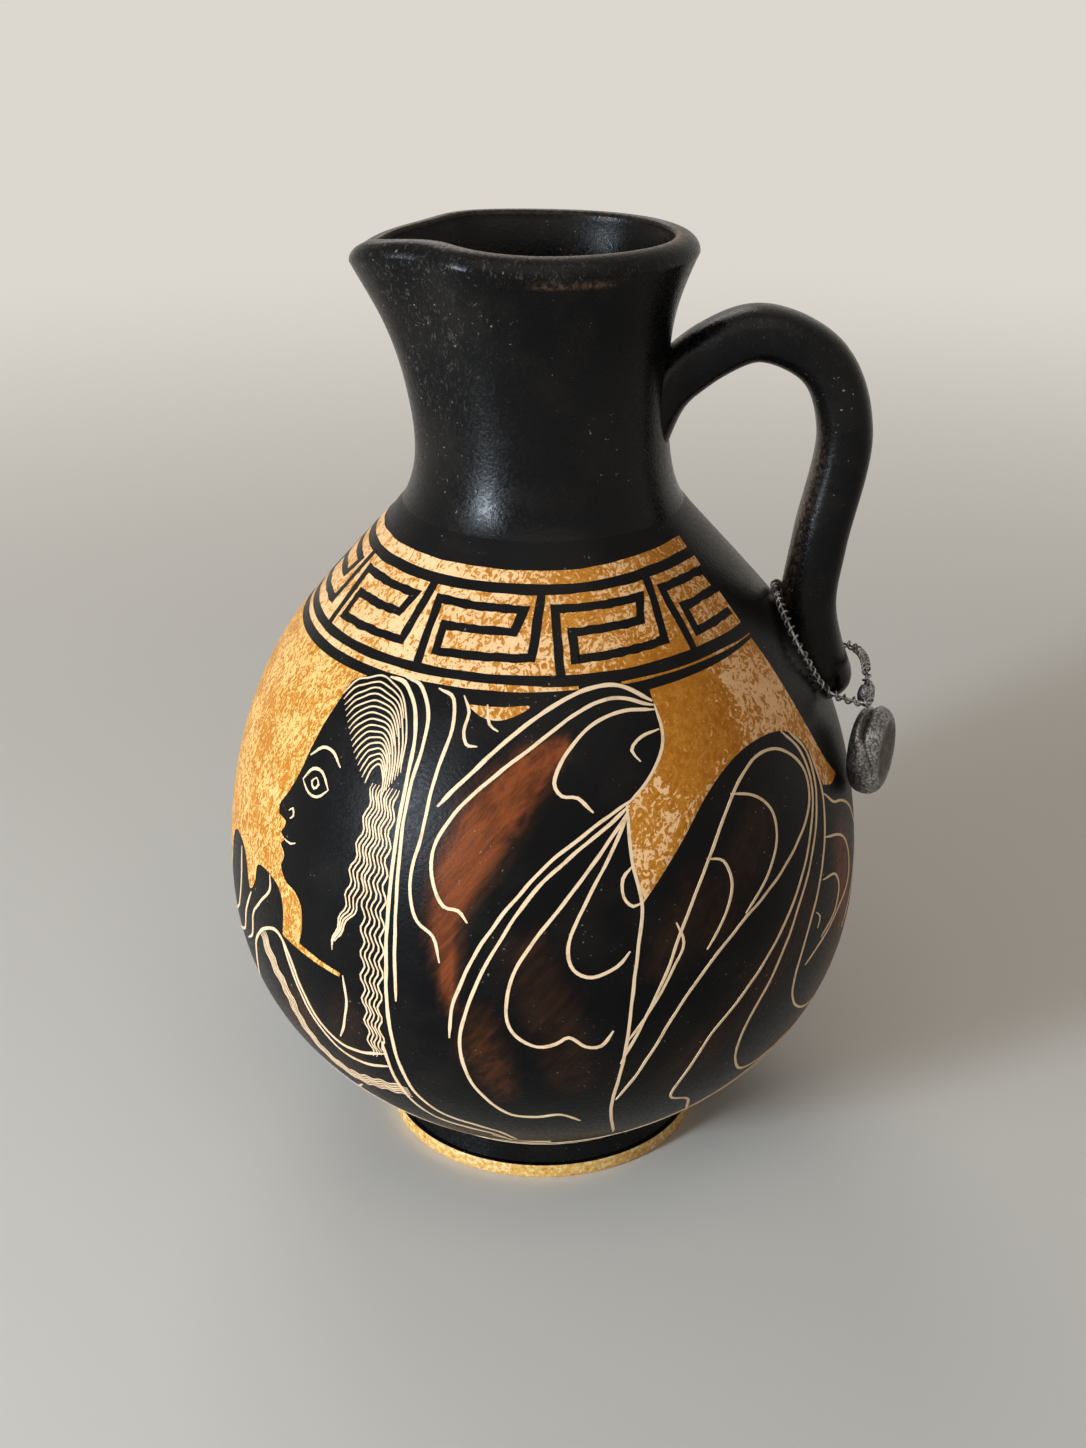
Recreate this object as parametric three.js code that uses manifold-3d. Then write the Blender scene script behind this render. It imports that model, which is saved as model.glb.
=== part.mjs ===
// A black-figure ceramic jug with a pinched spout, a looped handle and a lead seal on a spiral-wound wire.
// Millimetres, +Z up. The origin is on the jug's axis, on the flat underside of the foot.
// The handle stands out along +X, the spout points along -X.
import * as THREE from "three";
import { mergeVertices } from "three/addons/utils/BufferGeometryUtils.js";
import Module from "manifold-3d";

// Turned body: heights are above the table, radii are from the jug's axis.
const FOOT_RADIUS = 27.9;
const FOOT_HEIGHT = 6;
const FOOT_EDGE_HEIGHT = 2.2;
const FOOT_TOP_RADIUS = 26.2;
const FOOT_EDGE_ROUND = 0.6;
const BELLY_SEAT_RADIUS = 26.6;
const BELLY_RADIUS = 54.75;
const BELLY_WIDEST_HEIGHT = 51;
const SHOULDER_RADIUS = 41;
const SHOULDER_HEIGHT = 96;
const SHOULDER_LEAN = THREE.MathUtils.degToRad(39.5);
const NECK_JOINT_RADIUS = 23.1;
const NECK_JOINT_HEIGHT = 116.5;
const NECK_JOINT_LEAN = THREE.MathUtils.degToRad(31);
const NECK_WAIST_RADIUS = 20.2;
const NECK_WAIST_HEIGHT = 137;
const LIP_RADIUS = 24.7;
const LIP_HEIGHT = 159.6;
const LIP_ROLL_WIDTH = 2.5;
const LIP_ROLL_HEIGHT = 2.4;
const BELLY_WALL = 4.4;
const NECK_WALL = 3.6;
const FLOOR_THICKNESS = 5;

// How full each stretch of the outline is: the reach of its curve handles.
const BELLY_FOOT_FULLNESS = 4.9;
const BELLY_LOWER_FULLNESS = 29.9;
const BELLY_UPPER_FULLNESS = 25.7;
const SHOULDER_FULLNESS = 6.1;
const SHOULDER_HOLLOW = 10.6;
const NECK_FOOT_HOLLOW = 5;
const NECK_WAIST_HOLLOW = 9;
const LIP_FLARE = 7;
const LIP_LEAN = THREE.MathUtils.degToRad(24);

// Pinched spout, which starts a little above the neck's joint.
const SPOUT_REACH = 5.8;
const SPOUT_START_RISE = 4.5;
const SPOUT_SHARPNESS = 3;
const SPOUT_TURN = THREE.MathUtils.degToRad(4);
const SPOUT_TIP_DROP = 2.6;
const SPOUT_TIP_SHARPNESS = 13.5;
const FLANK_ANGLE = THREE.MathUtils.degToRad(20);
const FLANK_SPREAD = THREE.MathUtils.degToRad(40);
const NEAR_FLANK_RISE = 2.7;
const FAR_FLANK_RISE = 0.3;
const PINCH_ANGLE = THREE.MathUtils.degToRad(37);
const PINCH_SPREAD = THREE.MathUtils.degToRad(15);
const PINCH_DEPTH = 2.4;
const MOUTH_SIDE_PINCH = 3.3;

// Handle: a pulled strap, flared where it is luted on. Radii are of its centreline from the jug's axis,
// and each rise is the height above the point that comes next on the way down to the tail.
const HANDLE_THICKNESS = 9;
const HANDLE_WIDTH = 10.6;
const HANDLE_SQUARENESS = 2.5;
const HANDLE_TOP_HEIGHT = 132;
const HANDLE_RISE_RADIUS = 27.2;
const HANDLE_RISE_HEIGHT = 141;
const HANDLE_CREST_RADIUS = 35;
const HANDLE_CREST_HEIGHT = 143.6;
const HANDLE_BEND_RADIUS = 45;
const HANDLE_BEND_HEIGHT = 138.8;
const HANDLE_OUTER_RADIUS = 49;
const HANDLE_OUTER_HEIGHT = 128;
const HANDLE_FALL_RADIUS = 46;
const HANDLE_FALL_RISE = 11;
const HANDLE_CROTCH_RISE = 7.5;
const HANDLE_CROTCH_STANDOFF = 5.3;
const HANDLE_ROOT_RISE = 9;
const HANDLE_ROOT_STANDOFF = 0.8;
const HANDLE_TAIL_HEIGHT = 81.5;
const HANDLE_TAIL_STANDOFF = -0.8;
const HANDLE_TAIL_ROUND = 4;
const HANDLE_TAIL_TIP = 0.5;
const HANDLE_TOP_FLARE = 1.3;
const HANDLE_ROOT_FLARE = 1.2;
const HANDLE_TOP_FLARE_SHARE = 0.09;
const HANDLE_ROOT_FLARE_SHARE = 0.25;
const HANDLE_SIDE_FLARE = 1.4;

// Sealing wire: a straight core with a thinner wire wound round it in an open spiral.
const WIRE_CORE_DIAMETER = 0.55;
const WIRE_SPIRAL_DIAMETER = 0.38;
const WIRE_OUTER_DIAMETER = 1.62;
const WIRE_SPIRAL_PITCH = 1.6;
const WIRE_SIDE_CLEARANCE = 1.6;
const WIRE_NEAR_SLACK = 3.4;

// Lead seal and the crimped ear above it.
const SEAL_RADIUS = 7.6;
const SEAL_THICKNESS = 6;
const SEAL_FACE_RADIUS = 4.4;
const SEAL_SEAM_WIDTH = 0.8;
const SEAL_SEAM_DEPTH = 1;
const SEAL_TURN = THREE.MathUtils.degToRad(24);
const EAR_WIDTH = 5;
const EAR_THICKNESS = 3.4;
const EAR_LENGTH = 4.6;
const EAR_SQUARENESS = 2.6;
const EAR_ASIDE = -10.5;
const EAR_STANDOFF = -1.6;
const EAR_RISE = 2.2;

// Clearance that neighbouring pieces keep.
const JOINT_GAP = 0.3;

// Facet counts.
const TURNED_SEGMENTS = 48;
const CURVE_STEPS = 6;
const LIP_STEPS = 6;
const HANDLE_SIDES = 16;
const HANDLE_STEPS = 36;
const WIRE_CORE_SIDES = 8;
const WIRE_CORE_STEPS = 56;
const WIRE_SPIRAL_SIDES = 5;
const WIRE_SPIRAL_STEPS_PER_CURL = 8;
const SEAL_SEGMENTS = 32;
const EAR_STEPS = 8;
const SEAL_SETTLING_STEPS = 4;

const wasm = await Module();
wasm.setup();

const point = (radius, height) => new THREE.Vector2(radius, height);
const leaning = (angle) => point(-Math.sin(angle), Math.cos(angle));
const along = (start, direction, distance) => start.clone().addScaledVector(direction, distance);
const smoothstep = THREE.MathUtils.smoothstep;
const bump = (value, middle, spread) => Math.exp(-(((value - middle) / spread) ** 2));

// A closed geometry as a solid for cutting.
function solidOf(geometry) {
  const bare = geometry.clone();
  bare.deleteAttribute("normal");
  bare.deleteAttribute("uv");
  const merged = mergeVertices(bare, 1e-4);
  const triVerts = new Uint32Array(merged.index.array);
  const vertProperties = merged.attributes.position.array;
  return new wasm.Manifold(new wasm.Mesh({ numProp: 3, vertProperties, triVerts }));
}

function geometryOf(solid) {
  const mesh = solid.getMesh();
  const geometry = new THREE.BufferGeometry();
  geometry.setAttribute("position", new THREE.BufferAttribute(mesh.vertProperties, mesh.numProp));
  geometry.setIndex(new THREE.BufferAttribute(mesh.triVerts, 1));
  geometry.computeVertexNormals();
  return geometry;
}

// Skins a row of rings that all have the same number of points, and closes both ends with fans.
function loft(rings) {
  const sides = rings[0].length;
  const vertices = rings.flat();
  const centreOf = (ring) =>
    ring.reduce((sum, p) => sum.add(p), new THREE.Vector3()).divideScalar(sides);
  const first = vertices.length;
  const last = first + 1;
  vertices.push(centreOf(rings[0]), centreOf(rings.at(-1)));
  const faces = [];
  const end = (rings.length - 1) * sides;
  for (let i = 0; i < sides; i++) {
    const next = (i + 1) % sides;
    for (let row = 0; row < end; row += sides) {
      faces.push(row + i, row + next, row + sides + i);
      faces.push(row + next, row + sides + next, row + sides + i);
    }
    faces.push(first, next, i);
    faces.push(last, end + i, end + next);
  }
  const geometry = new THREE.BufferGeometry().setFromPoints(vertices);
  geometry.setIndex(faces);
  geometry.computeVertexNormals();
  return geometry;
}

// A ring of points round a centre: a superellipse of the given half sizes along two directions.
function superellipseRing(centre, across, up, halfAcross, halfUp, squareness, sides) {
  const rounded = (value) => Math.sign(value) * Math.abs(value) ** (2 / squareness);
  return Array.from({ length: sides }, (_, i) => {
    const angle = (2 * Math.PI * i) / sides;
    return centre
      .clone()
      .addScaledVector(across, halfAcross * rounded(Math.cos(angle)))
      .addScaledVector(up, halfUp * rounded(Math.sin(angle)));
  });
}

// A LatheGeometry turns about Y, so it is stood up along Z. The profile runs anticlockwise: up the outside.
function turned(profile, segments = TURNED_SEGMENTS) {
  return new THREE.LatheGeometry(profile, segments).rotateX(Math.PI / 2);
}

// Moves a profile sideways: positive distances go outwards from a line that runs upwards.
function offsetProfile(points, distance) {
  return points.map((p, i) => {
    const before = points[Math.max(i - 1, 0)];
    const after = points[Math.min(i + 1, points.length - 1)];
    const tangent = after.clone().sub(before).normalize();
    return point(p.x + tangent.y * distance, p.y - tangent.x * distance);
  });
}

// Radius of an upward profile at a height.
function radiusAt(points, height) {
  const i = points.findIndex((p) => p.y >= height);
  if (i <= 0) return points.at(i).x;
  const [low, high] = [points[i - 1], points[i]];
  return THREE.MathUtils.mapLinear(height, low.y, high.y, low.x, high.x);
}

// Outline of the belly, from its seat on the foot to the joint with the neck.
function bellyOutline() {
  const seat = point(BELLY_SEAT_RADIUS, FOOT_HEIGHT);
  const widest = point(BELLY_RADIUS, BELLY_WIDEST_HEIGHT);
  const shoulder = point(SHOULDER_RADIUS, SHOULDER_HEIGHT);
  const joint = point(NECK_JOINT_RADIUS, NECK_JOINT_HEIGHT);
  const outwards = widest.clone().sub(seat).normalize();
  const path = new THREE.CurvePath();
  path.add(
    new THREE.CubicBezierCurve(
      seat,
      along(seat, outwards, BELLY_FOOT_FULLNESS),
      point(BELLY_RADIUS, BELLY_WIDEST_HEIGHT - BELLY_LOWER_FULLNESS),
      widest,
    ),
  );
  path.add(
    new THREE.CubicBezierCurve(
      widest,
      point(BELLY_RADIUS, BELLY_WIDEST_HEIGHT + BELLY_UPPER_FULLNESS),
      along(shoulder, leaning(SHOULDER_LEAN), -SHOULDER_FULLNESS),
      shoulder,
    ),
  );
  path.add(
    new THREE.CubicBezierCurve(
      shoulder,
      along(shoulder, leaning(SHOULDER_LEAN), SHOULDER_HOLLOW),
      along(joint, leaning(NECK_JOINT_LEAN), -1),
      joint,
    ),
  );
  return path.getPoints(CURVE_STEPS);
}

// Outline of the neck, from the joint to where the lip starts to round over.
function neckOutline() {
  const joint = point(NECK_JOINT_RADIUS, NECK_JOINT_HEIGHT);
  const waist = point(NECK_WAIST_RADIUS, NECK_WAIST_HEIGHT);
  const lip = point(LIP_RADIUS, LIP_HEIGHT - LIP_ROLL_HEIGHT);
  const path = new THREE.CurvePath();
  path.add(
    new THREE.CubicBezierCurve(
      joint,
      along(joint, leaning(NECK_JOINT_LEAN), NECK_FOOT_HOLLOW),
      point(NECK_WAIST_RADIUS, NECK_WAIST_HEIGHT - NECK_WAIST_HOLLOW),
      waist,
    ),
  );
  path.add(
    new THREE.CubicBezierCurve(
      waist,
      point(NECK_WAIST_RADIUS, NECK_WAIST_HEIGHT + NECK_WAIST_HOLLOW),
      along(lip, leaning(-LIP_LEAN), -LIP_FLARE),
      lip,
    ),
  );
  return path.getPoints(CURVE_STEPS);
}

const belly = bellyOutline();
const neck = neckOutline();

// Pulls the round neck out into a pouring spout, pinches the spout's flanks and the mouth's sides, more towards
// the lip, and lifts the near flank as the potter's thumb leaves it.
function pinchSpout(geometry) {
  const positions = geometry.attributes.position;
  const vertex = new THREE.Vector3();
  for (let i = 0; i < positions.count; i++) {
    vertex.fromBufferAttribute(positions, i);
    const grown = smoothstep(vertex.z, NECK_JOINT_HEIGHT + SPOUT_START_RISE, LIP_HEIGHT);
    const radius = Math.hypot(vertex.x, vertex.y);
    const fromSpout = Math.atan2(vertex.y, vertex.x) - Math.PI - SPOUT_TURN;
    const aside = Math.atan2(Math.sin(fromSpout), Math.cos(fromSpout));
    const facing = (1 + Math.cos(aside)) / 2;
    const spout = SPOUT_REACH * facing ** SPOUT_SHARPNESS;
    const pinch = PINCH_DEPTH * bump(Math.abs(aside), PINCH_ANGLE, PINCH_SPREAD);
    const moved = radius + grown * (spout - pinch - MOUTH_SIDE_PINCH * Math.sin(aside) ** 2);
    const share = radius > 0 ? moved / radius : 1;
    const near = smoothstep(aside, -PINCH_SPREAD, PINCH_SPREAD);
    const lifted = THREE.MathUtils.lerp(FAR_FLANK_RISE, NEAR_FLANK_RISE, near);
    const flank = lifted * bump(Math.abs(aside), FLANK_ANGLE, FLANK_SPREAD);
    const rise = grown ** 2 * (flank - SPOUT_TIP_DROP * facing ** SPOUT_TIP_SHARPNESS);
    positions.setXYZ(i, vertex.x * share, vertex.y * share, vertex.z + rise);
  }
  geometry.computeVertexNormals();
  return geometry;
}

// Turned pieces.
function footGeometry() {
  return turned([
    point(0, 0),
    point(FOOT_RADIUS - FOOT_EDGE_ROUND, 0),
    point(FOOT_RADIUS, FOOT_EDGE_ROUND),
    point(FOOT_RADIUS, FOOT_EDGE_HEIGHT),
    point(FOOT_RADIUS - FOOT_EDGE_ROUND, FOOT_EDGE_HEIGHT + FOOT_EDGE_ROUND),
    point(FOOT_TOP_RADIUS, FOOT_HEIGHT),
    point(0, FOOT_HEIGHT),
  ]);
}

function bellyGeometry() {
  const floor = FOOT_HEIGHT + FLOOR_THICKNESS;
  const inside = offsetProfile(belly, -BELLY_WALL).filter((p) => p.y > floor && p.y < NECK_JOINT_HEIGHT);
  const bore = point(NECK_JOINT_RADIUS - BELLY_WALL, NECK_JOINT_HEIGHT);
  const wall = [bore, ...inside.reverse(), point(radiusAt(belly, floor) - BELLY_WALL, floor)];
  return turned([point(0, FOOT_HEIGHT), ...belly, ...wall, point(0, floor)]);
}

function neckGeometry() {
  const inside = offsetProfile(neck, -NECK_WALL).filter((p) => p.y > NECK_JOINT_HEIGHT);
  const ridge = LIP_RADIUS - LIP_ROLL_WIDTH;
  const mouth = inside.at(-1);
  const quarter = (base, width, height, from) =>
    new THREE.EllipseCurve(ridge, base, width, height, from, from + Math.PI / 2).getPoints(LIP_STEPS).slice(1);
  const over = [
    ...quarter(LIP_HEIGHT - LIP_ROLL_HEIGHT, LIP_ROLL_WIDTH, LIP_ROLL_HEIGHT, 0),
    ...quarter(mouth.y, ridge - mouth.x, LIP_HEIGHT - mouth.y, Math.PI / 2).slice(0, -1),
  ];
  const bore = point(NECK_JOINT_RADIUS - BELLY_WALL, NECK_JOINT_HEIGHT);
  return pinchSpout(turned([...neck, ...over, ...inside.reverse(), bore, neck[0]]));
}

// The solid space that the belly or neck takes up, grown by the joint's gap, which trims the handle's ends.
function envelope(outline, base, top) {
  const grown = offsetProfile(outline, JOINT_GAP);
  return turned([point(0, base), point(grown[0].x, base), ...grown, point(grown.at(-1).x, top), point(0, top)]);
}

const rootHeight = HANDLE_TAIL_HEIGHT + HANDLE_ROOT_RISE;
const crotchHeight = rootHeight + HANDLE_CROTCH_RISE;
const fallHeight = crotchHeight + HANDLE_FALL_RISE;

// Centreline of the handle in the plane y = 0, from inside the neck's wall to inside the belly's wall.
function handleLine() {
  const at = (radius, height) => new THREE.Vector3(radius, 0, height);
  const offBelly = (standoff, height) => at(radiusAt(belly, height) + standoff, height);
  return new THREE.CatmullRomCurve3([
    at(radiusAt(neck, HANDLE_TOP_HEIGHT) - NECK_WALL, HANDLE_TOP_HEIGHT),
    at(HANDLE_RISE_RADIUS, HANDLE_RISE_HEIGHT),
    at(HANDLE_CREST_RADIUS, HANDLE_CREST_HEIGHT),
    at(HANDLE_BEND_RADIUS, HANDLE_BEND_HEIGHT),
    at(HANDLE_OUTER_RADIUS, HANDLE_OUTER_HEIGHT),
    at(HANDLE_FALL_RADIUS, fallHeight),
    offBelly(HANDLE_CROTCH_STANDOFF, crotchHeight),
    offBelly(HANDLE_ROOT_STANDOFF, rootHeight),
    offBelly(HANDLE_TAIL_STANDOFF, HANDLE_TAIL_HEIGHT),
  ]);
}

const handle = handleLine();
const handleLength = handle.getLength();
const OUTWARDS = new THREE.Vector3(1, 0, 0);
const SIDEWAYS = new THREE.Vector3(0, 1, 0);
const UPWARDS = new THREE.Vector3(0, 0, 1);

// The handle's outward direction, half thickness and half width at a share of its length.
function handleSection(share) {
  const tangent = handle.getTangentAt(share);
  const outwards = new THREE.Vector3().crossVectors(SIDEWAYS, tangent).negate();
  const nearTop = 1 - smoothstep(share, 0, HANDLE_TOP_FLARE_SHARE);
  const nearRoot = smoothstep(share, 1 - HANDLE_ROOT_FLARE_SHARE, 1);
  const thicker = 1 + (HANDLE_TOP_FLARE - 1) * nearTop + (HANDLE_ROOT_FLARE - 1) * nearRoot;
  const wider = 1 + (HANDLE_SIDE_FLARE - 1) * (nearTop + nearRoot);
  return {
    centre: handle.getPointAt(share),
    tangent,
    outwards,
    halfThickness: (HANDLE_THICKNESS / 2) * thicker,
    halfWidth: (HANDLE_WIDTH / 2) * wider,
  };
}

// The tail's end is thumbed round: the section shrinks along a quarter circle.
function tailRounding(share) {
  const intoEnd = Math.max(0, 1 - (handleLength * (1 - share)) / HANDLE_TAIL_ROUND);
  return HANDLE_TAIL_TIP + (1 - HANDLE_TAIL_TIP) * Math.sqrt(1 - intoEnd ** 2);
}

function handleGeometry() {
  const rings = Array.from({ length: HANDLE_STEPS + 1 }, (_, i) => {
    const share = i / HANDLE_STEPS;
    const { centre, outwards, halfThickness, halfWidth } = handleSection(share);
    const rounding = tailRounding(share);
    const size = [halfWidth * rounding, halfThickness * rounding, HANDLE_SQUARENESS, HANDLE_SIDES];
    return superellipseRing(centre, SIDEWAYS, outwards, ...size);
  });
  const aboveJoint = NECK_JOINT_HEIGHT - JOINT_GAP;
  const strap = solidOf(loft(rings))
    .subtract(solidOf(envelope(belly, FOOT_HEIGHT, NECK_JOINT_HEIGHT)))
    .subtract(solidOf(pinchSpout(envelope(neck, aboveJoint, LIP_HEIGHT))));
  return geometryOf(strap);
}

// Where the wire crosses under the handle: in the corner between the handle's inner face and the shoulder.
function wireCorner() {
  const clear = WIRE_OUTER_DIAMETER / 2 + JOINT_GAP;
  const seat = offsetProfile(belly, clear);
  const faceSteps = HANDLE_STEPS * CURVE_STEPS;
  let corner = null;
  for (let i = 0; i <= faceSteps; i++) {
    const { centre, outwards, halfThickness } = handleSection(i / faceSteps);
    const face = centre.clone().addScaledVector(outwards, -(halfThickness + clear));
    if (face.z < rootHeight || face.z > fallHeight) continue;
    if (face.x > radiusAt(seat, face.z)) corner = face;
  }
  return corner;
}

// The ear hangs upright just past the outer corner of the handle's tail, on the near side, clear of the belly.
function earSeat() {
  const { centre, outwards, halfThickness } = handleSection(1);
  const seat = centre.clone().addScaledVector(outwards, halfThickness + EAR_THICKNESS / 2 + EAR_STANDOFF);
  seat.addScaledVector(SIDEWAYS, EAR_ASIDE).addScaledVector(UPWARDS, EAR_RISE);
  const offBelly = radiusAt(belly, seat.z - EAR_LENGTH / 2) + EAR_THICKNESS / 2 + JOINT_GAP;
  return seat.setX(Math.max(seat.x, Math.sqrt(offBelly ** 2 - EAR_ASIDE ** 2)));
}

const corner = wireCorner();
const ear = earSeat();

// The wire's loop: from the ear along the belly on one side of the handle's root, across under the handle,
// back along the belly on the other side, and over the outer face of the tail to the ear again.
function wireLine() {
  const clear = WIRE_OUTER_DIAMETER / 2 + JOINT_GAP;
  const side = (HANDLE_WIDTH / 2) * HANDLE_SIDE_FLARE + WIRE_OUTER_DIAMETER / 2 + WIRE_SIDE_CLEARANCE;
  const seat = offsetProfile(belly, clear + JOINT_GAP);
  const fall = corner.z - HANDLE_TAIL_HEIGHT;
  const onBelly = (share, aside) => {
    const height = corner.z - share * fall;
    return new THREE.Vector3(Math.sqrt(radiusAt(seat, height) ** 2 - aside ** 2), aside, height);
  };
  const tail = handleSection(1 - HANDLE_TAIL_ROUND / handleLength);
  const overTail = tail.centre.clone().addScaledVector(tail.outwards, tail.halfThickness + clear + JOINT_GAP);
  const nearEar = ear.clone().addScaledVector(SIDEWAYS, -EAR_WIDTH / 2 - clear - JOINT_GAP);
  const overEar = ear.clone().addScaledVector(UPWARDS, EAR_LENGTH / 2 + clear);
  return new THREE.CatmullRomCurve3([
    nearEar,
    onBelly(0.75, -side - WIRE_NEAR_SLACK / 2),
    onBelly(0.35, -side - WIRE_NEAR_SLACK),
    onBelly(0.14, -side),
    corner,
    onBelly(0.12, side * 0.7),
    onBelly(0.35, side),
    onBelly(0.65, side),
    overTail.addScaledVector(SIDEWAYS, side / 2),
    overEar,
  ]);
}

const wire = wireLine();

function wireCoreGeometry() {
  const circle = new THREE.Shape().absarc(0, 0, WIRE_CORE_DIAMETER / 2, 0, 2 * Math.PI, false);
  return new THREE.ExtrudeGeometry(circle, {
    extrudePath: wire,
    steps: WIRE_CORE_STEPS,
    curveSegments: WIRE_CORE_SIDES / 2,
  });
}

// The least gap between the spiral's own turns, measured between points at least half a curl apart.
function leastSpiralGap(points) {
  let least = Infinity;
  const apart = WIRE_SPIRAL_STEPS_PER_CURL / 2;
  points.forEach((p, i) => {
    for (let j = i + apart; j < points.length; j++) least = Math.min(least, p.distanceTo(points[j]));
  });
  return least - WIRE_SPIRAL_DIAMETER;
}

function wireSpiralGeometry() {
  const curls = Math.floor(wire.getLength() / WIRE_SPIRAL_PITCH);
  const steps = curls * WIRE_SPIRAL_STEPS_PER_CURL;
  const radius = (WIRE_OUTER_DIAMETER - WIRE_SPIRAL_DIAMETER) / 2;
  const frames = wire.computeFrenetFrames(steps);
  const spokes = frames.normals.map((normal, i) => {
    const angle = (2 * Math.PI * i) / WIRE_SPIRAL_STEPS_PER_CURL;
    return normal.clone().multiplyScalar(Math.cos(angle)).addScaledVector(frames.binormals[i], Math.sin(angle));
  });
  const points = spokes.map((spoke, i) => wire.getPointAt(i / steps).addScaledVector(spoke, radius));
  const gap = leastSpiralGap(points).toFixed(2);
  console.log(`wire ${wire.getLength().toFixed(1)} mm, ${curls} curls, least gap ${gap} mm`);
  const rings = points.map((centre, i) => {
    const before = points[Math.max(i - 1, 0)];
    const after = points[Math.min(i + 1, steps)];
    const tangent = after.clone().sub(before).normalize();
    const across = spokes[i].clone().addScaledVector(tangent, -spokes[i].dot(tangent)).normalize();
    const up = new THREE.Vector3().crossVectors(tangent, across);
    const half = WIRE_SPIRAL_DIAMETER / 2;
    return superellipseRing(centre, across, up, half, half, 2, WIRE_SPIRAL_SIDES);
  });
  return loft(rings);
}

// A small squeezed lead ear, standing upright.
function earGeometry() {
  const rings = Array.from({ length: EAR_STEPS + 1 }, (_, i) => {
    const share = i / EAR_STEPS - 0.5;
    const swell = Math.sqrt(1 - share ** 2) * (1 - 0.25 * Math.abs(share));
    const centre = ear.clone().addScaledVector(UPWARDS, share * EAR_LENGTH);
    const size = [(EAR_WIDTH / 2) * swell, (EAR_THICKNESS / 2) * swell, EAR_SQUARENESS, HANDLE_SIDES];
    return superellipseRing(centre, SIDEWAYS, OUTWARDS.clone().negate(), ...size);
  });
  return loft(rings);
}

// Lead seal: a squeezed disc with flat crimped faces and a seam round its rim, turned about its own axis.
function sealGeometry() {
  const half = SEAL_THICKNESS / 2;
  const rim = new THREE.Path();
  const roundness = SEAL_RADIUS - SEAL_FACE_RADIUS;
  rim.absellipse(SEAL_FACE_RADIUS, 0, roundness, half, -Math.PI / 2, Math.PI / 2, false);
  const seam = [
    point(SEAL_RADIUS, -SEAL_SEAM_WIDTH / 2),
    point(SEAL_RADIUS - SEAL_SEAM_DEPTH, 0),
    point(SEAL_RADIUS, SEAL_SEAM_WIDTH / 2),
  ];
  const round = rim.getPoints(2 * CURVE_STEPS);
  const outer = round.filter((p) => p.y < -SEAL_SEAM_WIDTH);
  const inner = round.filter((p) => p.y > SEAL_SEAM_WIDTH);
  return turned([point(0, -half), ...outer, ...seam, ...inner, point(0, half)], SEAL_SEGMENTS);
}

// The seal hangs plumb below the ear, and stands out just far enough to lie on the belly.
function hangSeal(mesh) {
  const vertices = mesh.geometry.attributes.position;
  const vertex = new THREE.Vector3();
  const clearance = () => {
    let least = Infinity;
    for (let i = 0; i < vertices.count; i++) {
      vertex.fromBufferAttribute(vertices, i).applyMatrix4(mesh.matrix);
      least = Math.min(least, Math.hypot(vertex.x, vertex.y) - radiusAt(belly, vertex.z));
    }
    return least;
  };
  mesh.rotation.set(0, Math.PI / 2, -SEAL_TURN, "ZYX");
  mesh.position.copy(ear);
  mesh.position.z -= EAR_LENGTH / 2 + JOINT_GAP + SEAL_RADIUS;
  for (let i = 0; i < SEAL_SETTLING_STEPS; i++) {
    mesh.updateMatrix();
    mesh.position.x += JOINT_GAP - clearance();
  }
  mesh.updateMatrix();
}

// Finishes.
const blackSlip = new THREE.MeshStandardMaterial({ color: 0x15130f, roughness: 0.38, metalness: 0 });
const ochreClay = new THREE.MeshStandardMaterial({ color: 0xd29a45, roughness: 0.5, metalness: 0 });
const oldLead = new THREE.MeshStandardMaterial({ color: 0x5c5c5e, roughness: 0.45, metalness: 0.9 });
const dullWire = new THREE.MeshStandardMaterial({ color: 0x4a4540, roughness: 0.5, metalness: 0.9 });

const jug = new THREE.Group();

function addPiece(name, geometry, material) {
  const mesh = new THREE.Mesh(geometry, material);
  mesh.name = name;
  jug.add(mesh);
  return mesh;
}

addPiece("foot", footGeometry(), blackSlip);
addPiece("belly", bellyGeometry(), ochreClay);
addPiece("neck_and_spout", neckGeometry(), blackSlip);
addPiece("handle", handleGeometry(), blackSlip);
addPiece("seal_wire_core", wireCoreGeometry(), dullWire);
addPiece("seal_wire_spiral", wireSpiralGeometry(), dullWire);
addPiece("seal_ear", earGeometry(), oldLead);
hangSeal(addPiece("lead_seal", sealGeometry(), oldLead));

export default jug;
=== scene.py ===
"""Looks of a black-figure ceramic jug with a pinched spout, a looped handle and a lead seal on a wire.

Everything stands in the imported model's frame, +Z up. Sizes are kept in millimetres and turned into metres
as the pieces are built. A place on the belly is an azimuth in degrees, 0 towards the viewer at -Y and 90 at
the handle, and a height above the table in millimetres.
"""
import logging
import math
from bisect import bisect_left
from dataclasses import dataclass
from enum import Enum
from typing import Callable, Iterable, Sequence

import bmesh
import bpy
from mathutils import Matrix, Vector, noise
from mathutils.geometry import interpolate_bezier


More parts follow.
